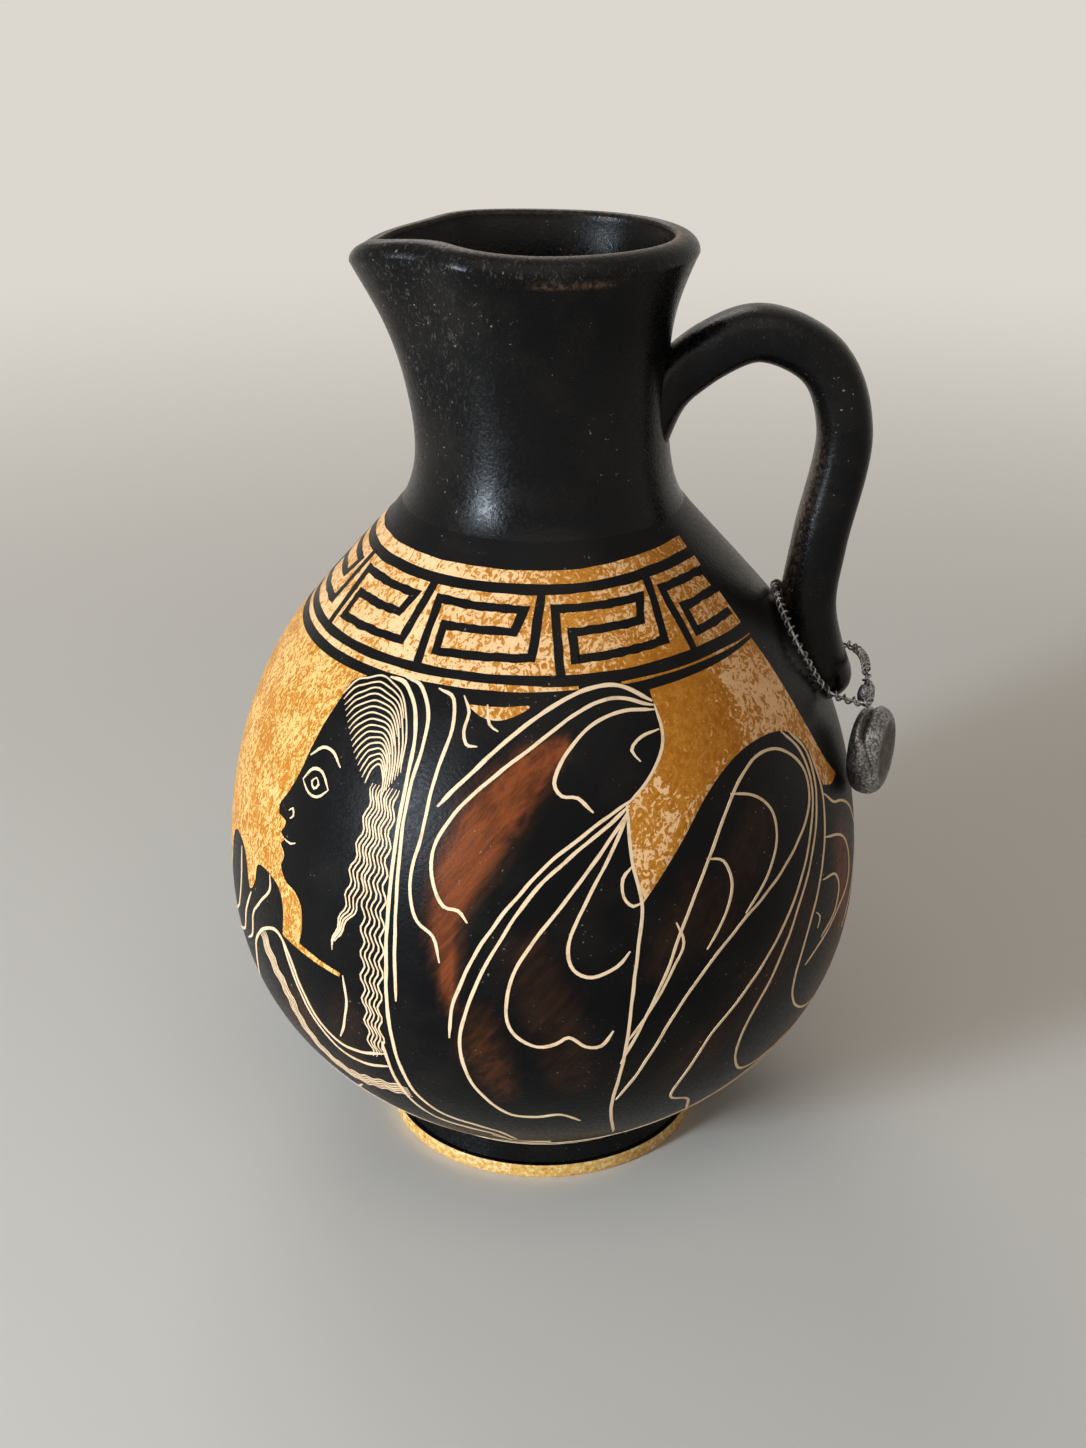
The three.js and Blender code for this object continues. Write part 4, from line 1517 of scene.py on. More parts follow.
class BellyPicture:
    """The picture on the belly: a veiled head in profile among long folds, in cream line on black."""

    brow_and_nose = (
        (-47.2, 93.0), (-48.9, 88.6), (-50.2, 84.0), (-50.8, 81.6), (-52.7, 77.6), (-54.8, 74.5),
        (-54.4, 73.2),
    )
    mouth_and_chin = (
        (-54.4, 73.2), (-51.9, 72.6), (-52.2, 71.6), (-52.9, 70.6), (-51.5, 69.9), (-52.4, 68.9),
        (-51.0, 67.4), (-51.6, 65.4), (-50.0, 63.3), (-47.2, 62.4), (-45.4, 60.6), (-45.0, 57.0),
        (-45.8, 53.8),
    )
    collar_edge = (
        (-45.8, 53.8), (-40.0, 52.5), (-36.0, 51.9), (-36.2, 51.2), (-42.0, 51.9), (-50.5, 53.4),
    )
    raised_hand = (
        (-50.5, 53.4), (-50.4, 58.4), (-51.8, 61.3), (-56.0, 62.7), (-59.8, 62.2), (-60.8, 58.6),
        (-63.0, 56.6), (-64.8, 60.2), (-66.4, 62.2), (-71.0, 63.4), (-74.6, 62.0), (-76.0, 59.4),
        (-79.0, 57.0), (-84.0, 60.8), (-90.0, 62.0), (-97.0, 58.0), (-112.0, 53.0), (-128.0, 55.0),
        (-143.0, 66.0), (-150.0, 82.0), (-152.0, 96.8),
    )
    hair_edge = ((-43.0, 96.8), (-46.2, 95.6), (-47.2, 93.0))
    sliver = (
        (-16.4, 96.2), (-12.8, 94.9), (-9.4, 94.6), (-6.0, 95.2), (-2.8, 96.4), (-9.0, 96.2),
        (-16.4, 96.2),
    )
    wedge = (
        ((24.2, 97.4), (42.0, 98.2), (60.0, 99.0)),
        ((60.0, 99.0), (61.2, 90.0), (65.5, 79.0), (69.4, 74.4)),
        ((69.4, 74.4), (66.0, 74.0), (62.4, 75.2)),
        ((62.4, 75.2), (59.5, 83.0), (54.5, 86.4), (46.0, 87.3), (38.0, 85.9), (31.0, 82.4),
         (24.0, 76.0), (16.6, 68.2)),
        ((16.6, 68.2), (15.2, 75.0), (15.0, 82.6)),
        ((15.0, 82.6), (20.0, 86.2), (23.8, 91.0), (24.2, 97.4)),
    )
    veil = (
        Stroke(((-36.5, 97.6), (-31.5, 97.2), (-27.4, 94.2), (-25.9, 90.0), (-26.0, 80.0),
                (-26.4, 66.0), (-26.6, 50.0), (-26.0, 38.0), (-24.5, 29.5), (-20.5, 24.4),
                (-13.5, 21.8), (-9.0, 19.4), (-6.6, 15.6)), 0.8),
        Stroke(((-33.0, 98.2), (-27.6, 97.3), (-24.4, 94.4), (-24.0, 89.8), (-25.0, 83.0),
                (-25.0, 66.0), (-24.9, 50.0)), 0.72),
        Stroke(((-28.6, 41.0), (-28.0, 33.0), (-26.6, 26.6), (-23.6, 22.2), (-17.0, 20.0),
                (-11.0, 18.2), (-8.4, 14.2)), 0.74),
    )
    drape = (
        Stroke(((-23.6, 97.6), (-19.6, 96.6), (-18.5, 93.0), (-20.2, 87.0), (-21.4, 78.0),
                (-22.7, 70.0), (-21.0, 64.6), (-18.2, 62.6), (-17.0, 58.4)), 0.7),
        Stroke(((-17.4, 97.2), (-15.6, 95.2), (-16.1, 92.8), (-15.2, 91.2), (-12.9, 91.0)), 0.62),
        Stroke(((-11.9, 96.4), (-11.0, 94.0), (-9.0, 93.2)), 0.62),
        Stroke(((24.0, 96.0), (18.0, 98.3), (10.0, 98.4), (1.0, 96.0), (-8.0, 91.6), (-15.0, 86.2),
                (-19.2, 82.4)), 0.8),
        Stroke(((24.0, 95.5), (16.0, 97.0), (8.0, 95.8), (-2.0, 91.4), (-12.0, 85.2), (-17.0, 80.2),
                (-19.1, 75.4), (-18.6, 71.2), (-16.6, 67.7), (-14.0, 67.4), (-12.4, 65.6)), 0.72),
        Stroke(((24.0, 94.9), (15.0, 95.2), (8.0, 93.0), (4.0, 90.0), (2.0, 86.6), (3.4, 84.8),
                (6.2, 84.4), (9.0, 82.4)), 0.7),
        Stroke(((24.2, 95.6), (24.4, 91.6), (20.6, 86.8), (15.2, 83.0)), 0.6),
        Stroke(((23.9, 92.4), (19.8, 91.8), (17.4, 90.2), (18.8, 88.6)), 0.6),
    )
    fan = (
        Stroke(((16.0, 83.6), (9.0, 80.4), (1.0, 75.4), (-5.0, 69.4), (-10.0, 62.4), (-13.0, 56.4),
                (-15.0, 50.4), (-15.6, 45.0)), 0.7),
        Stroke(((15.6, 82.9), (5.0, 76.4), (-2.0, 70.4), (-8.0, 61.4), (-12.0, 52.4), (-13.8, 44.4),
                (-13.0, 37.4), (-10.0, 31.4), (-6.0, 27.6), (-1.0, 27.2), (3.6, 27.9),
                (7.4, 25.4)), 0.72),
        Stroke(((15.4, 82.4), (7.0, 73.4), (1.0, 66.4), (-4.0, 59.4), (-6.0, 52.4), (-5.0, 47.4),
                (-1.0, 44.6), (2.2, 45.2), (4.2, 46.4), (7.0, 44.4), (9.6, 44.2), (11.6, 47.0)), 0.7),
        Stroke(((15.2, 81.8), (11.0, 75.4), (6.0, 67.4), (4.0, 61.4), (5.0, 58.4), (8.0, 57.0),
                (12.0, 58.4), (14.2, 60.8)), 0.68),
        Stroke(((15.2, 74.2), (13.4, 72.4), (13.4, 69.6), (15.0, 68.0), (16.8, 68.6)), 0.6),
        Stroke(((15.0, 83.0), (15.2, 75.0), (16.5, 68.2), (15.5, 60.4), (14.6, 52.4), (14.0, 44.4),
                (13.2, 36.4), (12.8, 30.4), (14.0, 24.4), (16.8, 17.6)), 0.66),
    )
    leaf = (
        Stroke(((13.2, 40.0), (16.0, 46.6), (20.0, 55.0), (23.6, 63.4), (29.0, 72.4), (36.0, 80.8),
                (43.0, 84.8), (49.0, 85.0), (54.6, 82.4), (57.0, 78.4), (55.6, 74.0), (50.0, 69.6),
                (41.0, 64.4), (34.0, 60.4), (27.0, 54.4), (21.6, 47.4), (17.4, 39.0),
                (13.4, 31.0)), 0.66),
        Stroke(((53.4, 86.6), (57.6, 82.0), (58.0, 76.6), (53.0, 67.4), (45.0, 57.4), (36.0, 48.4),
                (30.0, 42.4), (27.0, 36.4), (25.0, 30.4), (25.4, 28.2), (30.0, 26.0), (33.4, 21.4),
                (38.0, 17.0), (46.0, 13.2), (56.0, 9.6)), 0.64),
        Stroke(((55.6, 86.0), (59.4, 81.6), (59.4, 76.4), (55.0, 67.4), (48.0, 57.4), (42.0, 48.4),
                (38.0, 42.4), (37.0, 36.4), (38.4, 32.2), (42.4, 28.6), (47.4, 27.8),
                (52.4, 28.8)), 0.62),
        Stroke(((60.6, 81.0), (61.4, 74.4), (59.0, 66.4), (55.0, 58.4), (51.0, 51.4), (49.0, 45.4),
                (49.4, 42.2), (52.4, 38.4), (58.0, 35.4), (65.0, 33.6)), 0.62),
        Stroke(((36.0, 81.4), (41.0, 80.0), (44.6, 77.0), (45.0, 72.6), (41.0, 66.6),
                (36.0, 62.4)), 0.6),
        Stroke(((29.0, 73.0), (32.2, 72.0), (33.6, 68.6), (32.4, 64.4), (28.0, 58.4)), 0.58),
        Stroke(((22.4, 64.2), (23.6, 60.6), (21.6, 56.4), (18.0, 50.4), (14.2, 44.6)), 0.56),
    )
    side_curls = (
        Stroke(((61.8, 73.8), (65.0, 71.2), (70.0, 69.4), (75.0, 66.4), (80.0, 61.0)), 0.6),
        Stroke(((59.4, 67.2), (65.0, 65.4), (69.4, 62.4), (71.6, 58.4), (70.8, 54.4), (65.0, 52.2),
                (58.0, 49.4), (52.0, 47.0)), 0.58),
        Stroke(((57.4, 60.4), (62.6, 59.2), (64.6, 56.0), (63.0, 52.6), (57.0, 50.0)), 0.56),
        Stroke(((54.8, 55.6), (56.2, 54.2), (55.4, 52.4)), 0.5),
        Stroke(((65.0, 33.6), (70.6, 28.0), (77.0, 23.8), (85.0, 23.4), (92.0, 27.0),
                (97.0, 33.0)), 0.6),
        Stroke(((59.4, 18.8), (63.0, 15.6), (70.0, 14.0), (80.0, 14.2), (92.0, 17.0)), 0.6),
        Stroke(((78.0, 46.0), (82.4, 42.0), (82.0, 35.0), (77.0, 31.4)), 0.56),
        Stroke(((69.0, 46.0), (75.0, 51.0), (80.6, 57.0)), 0.54),
    )
    garment = (
        Stroke(((-95.0, 32.4), (-86.0, 33.2), (-75.0, 34.0), (-68.0, 36.6), (-64.0, 41.4),
                (-61.0, 47.8), (-57.0, 51.6), (-52.4, 53.2), (-49.0, 50.4), (-46.0, 44.4),
                (-43.0, 39.4), (-39.0, 36.6), (-34.0, 36.6), (-28.8, 38.2)), 0.74),
        Stroke(((-50.8, 52.4), (-47.0, 44.4), (-44.0, 38.6), (-39.0, 34.4), (-34.0, 33.9),
                (-28.4, 35.4)), 0.68),
        Stroke(((-35.4, 51.6), (-35.0, 47.0), (-36.6, 41.4), (-38.2, 38.4)), 0.6),
        Stroke(((-55.0, 62.4), (-54.8, 59.8), (-58.6, 55.8), (-61.6, 52.4), (-63.0, 47.8),
                (-66.6, 45.2)), 0.62),
        Stroke(((-62.4, 56.0), (-65.4, 51.4), (-68.0, 46.6), (-74.0, 43.4), (-82.0, 41.4),
                (-95.0, 40.0)), 0.66),
        Stroke(((-68.4, 61.8), (-68.0, 56.4), (-70.4, 50.4), (-76.0, 46.4), (-85.0, 44.2),
                (-95.0, 43.6)), 0.62),
        Stroke(((-76.4, 58.6), (-79.6, 53.0), (-86.0, 49.6), (-96.0, 48.6)), 0.6),
        Stroke(((-95.0, 37.0), (-88.0, 36.8), (-83.0, 36.2), (-79.6, 37.4)), 0.6),
        Stroke(((-96.0, 27.4), (-84.0, 23.2), (-76.0, 18.0), (-73.4, 13.6), (-78.0, 9.0)), 0.68),
        Stroke(((-96.0, 25.0), (-86.0, 20.8), (-79.0, 16.0), (-77.6, 12.2), (-83.0, 8.6)), 0.62),
        Stroke(((-56.0, 16.0), (-50.0, 18.8), (-44.0, 22.4), (-40.6, 24.8)), 0.5),
    )
    eye_and_mouth = (
        Stroke(((-49.6, 80.2), (-47.6, 82.3), (-45.0, 82.6), (-42.4, 80.4)), 0.62),
        Stroke(((-49.6, 80.2), (-47.2, 78.7), (-44.8, 78.8), (-42.4, 80.4)), 0.5),
        Stroke(((-46.1, 81.4), (-45.2, 80.6), (-46.1, 79.8), (-47.0, 80.6), (-46.1, 81.4)), 0.44),
        Stroke(((-49.4, 84.0), (-46.8, 85.8), (-43.8, 85.9), (-40.8, 84.2)), 0.62),
        Stroke(((-51.6, 74.6), (-50.5, 75.2), (-50.0, 74.2), (-50.9, 73.5)), 0.46),
        Stroke(((-51.5, 69.9), (-49.6, 69.7), (-48.2, 70.3)), 0.5),
    )
    foot_lines = (
        Stroke(((-66.0, 26.0), (-50.0, 20.8), (-42.0, 18.6), (-36.0, 17.0), (-30.0, 14.8),
                (-24.0, 11.8), (-18.0, 9.8), (-10.0, 8.5), (0.0, 8.2), (10.0, 8.8), (18.0, 10.4),
                (24.0, 13.4), (30.0, 15.9), (36.0, 18.2), (42.0, 20.7), (48.0, 23.5), (54.0, 26.8),
                (62.0, 31.6)), 0.8),
        Stroke(((21.0, 9.8), (25.0, 14.9), (30.0, 17.5), (36.0, 20.1), (42.0, 22.8), (48.0, 25.8),
                (56.0, 30.6)), 0.58),
        Stroke(((-12.0, 17.4), (-9.0, 15.6), (-4.6, 13.6), (2.2, 13.6)), 0.6),
        Stroke(tuple((azimuth, 7.2) for azimuth in range(-180, 181, 6)), 0.5),
    )
    back_folds = (
        Stroke(((158.0, 97.0), (164.0, 86.0), (162.0, 70.0), (168.0, 52.0), (166.0, 34.0),
                (172.0, 18.0)), 0.68),
        Stroke(((172.0, 96.6), (178.0, 84.0), (175.0, 66.0), (182.0, 48.0), (180.0, 30.0),
                (187.0, 16.0)), 0.66),
        Stroke(((188.0, 96.6), (193.0, 82.0), (190.0, 64.0), (198.0, 46.0), (197.0, 30.0),
                (205.0, 17.0)), 0.66),
        Stroke(((204.0, 94.0), (206.0, 78.0), (206.0, 60.0), (214.0, 44.0), (226.0, 36.0),
                (244.0, 33.0), (265.0, 32.4)), 0.68),
    )
    sash = (
        (-57.8, 50.6), (-54.8, 46.2), (-51.4, 41.4), (-50.0, 36.8), (-47.0, 31.6),
        (-43.0, 28.8), (-39.0, 28.0), (-33.0, 28.9), (-26.0, 29.6),
    )
    sash_width = 2.5
    hem = (
        (-93.0, 31.2), (-88.0, 28.8), (-80.0, 25.0), (-71.0, 20.8), (-63.0, 17.6),
        (-60.0, 14.0), (-66.0, 10.4),
    )
    hem_width = 2.6
    trim_step = 0.6
    wave_rows = (-1.2, -0.6, 0.0, 0.6, 1.2)
    wave_swing = 0.26
    wave_pace = 0.95
    wave_width = 0.3
    fringe_outside = (
        (-47.0, 93.6), (-44.6, 96.0), (-37.4, 97.3), (-31.6, 95.8), (-28.2, 91.6), (-27.4, 86.0),
    )
    fringe_inside = (
        (-34.4, 83.4), (-33.6, 85.6), (-32.2, 86.3), (-31.0, 85.4), (-30.7, 83.6), (-30.8, 81.6),
    )
    fringe_lines = 16
    fringe_points = 24
    fringe_short = 18
    fringe_swing = Vector((0.3, 0.5)) * 0.5
    fringe_width = 0.34
    locks = (
        Locks(
            first=0,
            count=4,
            end=(55.4, 0.5),
            foot=(-34.6, 0.9),
            span=(67, 55),
            sweep=(3.2, 0.75),
            calming=0.6,
        ),
        Locks(first=4, count=5, end=(36.0, 0.6), foot=(-31.2, 0.95), span=(60, 40), sweep=(0.0, 0.25)),
    )
    line_lift, line_depth = -0.02, 0.12
    band_foot = 97.6
    band_ochre, band_right_ochre, band_low_ochre = 0.14, 0.18, 0.5
    band_right: Span = (-40, 5)
    band_low_rise: Span = (12, 30)
    band_low_fall: Span = (36, 44)
    band_low_height: Span = (101, 104)
    head_ochre = 0.3
    wedges: Span = (10, 170)
    wedge_ochre, heart_ochre, tip_ochre, edge_ochre = 0.2, 0.62, 0.17, 0.5
    heart_rise: Span = (14, 27)
    heart_fall: Span = (39, 46)
    heart_height: Span = (80, 89)
    tip_height: Span = (80, 88)
    tip_aside: Span = (30, 42)
    edge_aside: Span = (64, 69)

    def __init__(self, skin: Skin, band: KeyBand, slip: bpy.types.Material) -> None:
        """Keeps the wall, the band above the picture and the finish of its black lines."""
        self.skin, self.band, self.slip = skin, band, slip

    def build(self) -> None:
        """Lays the bare ground, the key pattern, the cream lines and the trims."""
        ground = MottledGround("mottled_ground", (0.9, 0.525, 0.175), flake=0.85).material()
        flaked = MottledGround("flaked_ground", (0.95, 0.58, 0.29), flake=1.35).material()
        pale = MottledGround("pale_ground", (0.92, 0.57, 0.28), flake=1.1).material()
        line = DrawnLine("cream_line", (0.91, 0.65, 0.4), (0.56, 0.32, 0.15)).material()
        brown = DrawnLine("brown_line", (0.15, 0.09, 0.05), (0.05, 0.028, 0.016)).material()
        layer = Ground(self.skin, lift=-0.06, depth=0.1)
        self._paint(layer.lay(self.band.strips(), self.gild), "key_band_ground", pale)
        self._paint(layer.lay((self._ground_by_the_head(),), self.gild), "head_ground", ground)
        patches = (self._wedge(), self._far_wedge(), through(self.sliver, 0.8)[:-1])
        self._paint(layer.lay(patches, self.gild), "wedge_ground", flaked)
        keys = Brush(self.skin, lift=self.line_lift, depth=0.07)
        self._paint(keys.draw(self.band.units()), "key_pattern", self.slip)
        brush = Brush(self.skin, lift=self.line_lift, depth=self.line_depth, weight=0.78)
        hair = [*self._fringe(), *(stroke for locks in self.locks for stroke in locks.strokes())]
        self._paint(brush.draw((*self.eye_and_mouth, *hair)), "head_lines", line)
        front = (*self.veil, *self.drape, *self.fan, *self.garment, *self.foot_lines)
        self._paint(brush.draw(front), "veil_and_garment_lines", line)
        folds = (*self.leaf, *self.side_curls)
        light = Brush(self.skin, lift=self.line_lift, depth=self.line_depth, weight=0.72)
        self._paint(light.draw((*folds, *map(self._mirrored, folds), *self.back_folds)), "fold_lines", line)
        backing = Brush(self.skin, lift=-0.05, depth=0.1, step=self.trim_step)
        trims = (Stroke(self.sash, self.sash_width), Stroke(self.hem, self.hem_width))
        self._paint(backing.draw(trims), "trims", brown)
        waves = Brush(self.skin, lift=self.line_lift, depth=0.06, step=self.trim_step)
        self._paint(waves.draw((*self._waves(self.sash), *self._waves(self.hem))), "trim_waves", line)

    @staticmethod
    def _paint(mesh: bmesh.types.BMesh, name: str, finish: bpy.types.Material) -> None:
        """Stands up one layer of the picture, which rides on the jug."""
        stand_up(mesh, name, Body.JUG, Slot.PAINTED_CLAY, (finish,))

    @staticmethod
    def _mirrored(stroke: Stroke) -> Stroke:
        """Mirrors a stroke to the far side of the handle."""
        return Stroke(tuple((180 - azimuth, height) for azimuth, height in stroke.places), stroke.width)

    def gild(self, azimuth: float, height: float) -> float:
        """Gives the share of ochre in the ground.

        Args:
            azimuth: Degrees round the jug.
            height: Height above the table, in millimetres.

        Returns:
            The share: much in the upper part of the wedges, little by the head and in the band.
        """
        if height > self.band_foot:
            right = smoothstep(azimuth, *self.band_right)
            low = hump(azimuth, self.band_low_rise, self.band_low_fall)
            low *= 1 - smoothstep(height, *self.band_low_height)
            return self.band_ochre + self.band_right_ochre * right + self.band_low_ochre * low
        if not self.wedges[0] <= azimuth <= self.wedges[1]:
            return self.head_ochre
        aside = 90 - abs(azimuth - 90)
        heart = hump(aside, self.heart_rise, self.heart_fall) * smoothstep(height, *self.heart_height)
        tip = (1 - smoothstep(height, *self.tip_height)) * (1 - smoothstep(aside, *self.tip_aside))
        edge = smoothstep(aside, *self.edge_aside)
        return self.wedge_ochre + self.heart_ochre * heart + self.tip_ochre * tip + self.edge_ochre * edge

    def _ground_by_the_head(self) -> list[Vector]:
        """Gives the outline of the ground in front of the face, with the face's profile as its edge.

        Returns:
            The closed outline.
        """
        runs = (self.brow_and_nose, self.mouth_and_chin)
        outline = [p for run in runs for p in through(run, 0.5)[:-1]]
        outline += straight(self.collar_edge, 1.0)[:-1]
        outline += through(self.raised_hand, 0.9)
        outline += straight((self.raised_hand[-1], self.hair_edge[0]), 2.0)[1:-1]
        return outline + through(self.hair_edge, 0.6)[:-1]

    def _wedge(self) -> list[Vector]:
        """Gives the outline of the ground beside the handle's panel."""
        return [p for run in self.wedge for p in through(run, 0.8)[:-1]]

    def _far_wedge(self) -> list[Vector]:
        """Gives the wedge's mirror on the far side of the handle."""
        return [Vector((180 - p.x, p.y)) for p in self._wedge()[::-1]]

    def _fringe(self) -> list[Stroke]:
        """Gives the combed fringe, in waves that calm down towards the back of the head.

        Returns:
            One stroke for each line of hair.
        """
        last, points = self.fringe_lines - 1, self.fringe_points
        outside = evenly(through(self.fringe_outside, 0.5), points)
        inside = evenly(through(self.fringe_inside, 0.5), points)
        strokes = []
        for i in range(self.fringe_lines):
            way = []
            for j, (high, low) in enumerate(zip(outside, inside)):
                wave = self.fringe_swing * math.sin(j * 0.95 + i * 0.3) * (1 - j / points) ** 1.5
                way.append(tuple(high.lerp(low, i / last) + wave * (1 - 0.5 * i / last)))
            kept = way[: self.fringe_short] if i % 2 else way
            strokes.append(Stroke(tuple(kept), self.fringe_width))
        return strokes

    def _waves(self, way: Sequence[Place]) -> list[Stroke]:
        """Gives wavy lines side by side along a trim.

        Args:
            way: Places along the middle of the trim.

        Returns:
            The lines, one for each row.
        """
        line = through(way, self.trim_step)
        strokes = []
        for row in self.wave_rows:
            run = []
            for i, p in enumerate(line):
                leg = line[min(i + 1, len(line) - 1)] - line[max(i - 1, 0)]
                off = row + self.wave_swing * math.sin(i * self.wave_pace)
                run.append(tuple(p + Vector((-leg.y, leg.x)).normalized() * off))
            strokes.append(Stroke(tuple(run), self.wave_width))
        return strokes


@dataclass
class WireLoop:
    """The sealing wire: a straight core with a thinner wire wound round it in an open spiral."""

    core_diameter: float = 0.55
    spiral_diameter: float = 0.38
    outer_diameter: float = 1.62
    curls: int = 48
    steps_per_curl: int = 18
    core_sides: int = 12
    spiral_sides: int = 8
    crease: float = 60.0
    route: tuple[Point, ...] = (
        (53.704, -12.0, 85.394), (53.704, -14.41, 85.394), (47.268, -11.53, 86.192),
        (42.451, -13.23, 93.698), (40.279, -9.83, 97.639), (39.009, 0.0, 100.266),
        (40.564, 6.881, 98.014), (43.365, 9.83, 93.698), (46.765, 9.83, 88.068),
        (53.513, 4.915, 87.526), (53.704, -10.0, 88.804), (53.704, -10.5, 86.6),
    )

    def build(self, finish: bpy.types.Material) -> None:
        """Sweeps the core and the spiral along the loop's route.

        Args:
            finish: The material of both wires.
        """
        steps = self.curls * self.steps_per_curl
        line = evenly(through(self.route, 0.2), steps)
        core = self._tube(line, self.core_diameter / 2, self.core_sides)
        self._hang(core, "wire_core", finish, "seal_wire_core")
        radius = (self.outer_diameter - self.spiral_diameter) / 2
        wound = []
        for i, (here, (across, up)) in enumerate(zip(line, self._frames(line))):
            turn = 2 * math.pi * i / self.steps_per_curl
            wound.append(here + (across * math.cos(turn) + up * math.sin(turn)) * radius)
        spiral = self._tube(wound, self.spiral_diameter / 2, self.spiral_sides)
        self._hang(spiral, "wire_spiral", finish, "seal_wire_spiral")

    def _hang(self, mesh: bmesh.types.BMesh, name: str, finish: bpy.types.Material, node: str) -> None:
        """Stands up one of the two wires in place of its solid."""
        stand_up(mesh, name, Body.WIRE_LOOP, Slot.SEALING_WIRE, (finish,), (node,), self.crease)

    @staticmethod
    def _frames(line: Sequence[Vector]) -> list[tuple[Vector, Vector]]:
        """Carries two directions across a line along it without twist.

        Args:
            line: Points of the line.

        Returns:
            The two directions at each point.
        """
        across, frames = Vector((0, 0, 1)), []
        for i in range(len(line)):
            along = (line[min(i + 1, len(line) - 1)] - line[max(i - 1, 0)]).normalized()
            across = (across - along * across.dot(along)).normalized()
            frames.append((across, along.cross(across)))
        return frames

    def _tube(self, line: Sequence[Vector], radius: float, sides: int) -> bmesh.types.BMesh:
        """Sweeps a round wire along a line.

        Args:
            line: Points of the wire's middle, in millimetres.
            radius: The wire's radius, in millimetres.
            sides: Sides of its section.

        Returns:
            The closed wire, in metres.
        """
        frames, rows = self._frames(line), len(line) - 1
        mesh = bmesh.new()
        bmesh.ops.create_grid(mesh, x_segments=rows, y_segments=sides, size=1)
        for vertex in mesh.verts:
            index = round((vertex.co.x + 1) / 2 * rows)
            turn = (vertex.co.y + 1) * math.pi
            across, up = frames[index]
            vertex.co = (line[index] + (across * math.cos(turn) + up * math.sin(turn)) * radius) * MM
        bmesh.ops.remove_doubles(mesh, verts=mesh.verts[:], dist=WELD)
        bmesh.ops.holes_fill(mesh, edges=[e for e in mesh.edges if e.is_boundary], sides=0)
        bmesh.ops.recalc_face_normals(mesh, faces=mesh.faces[:])
        return mesh


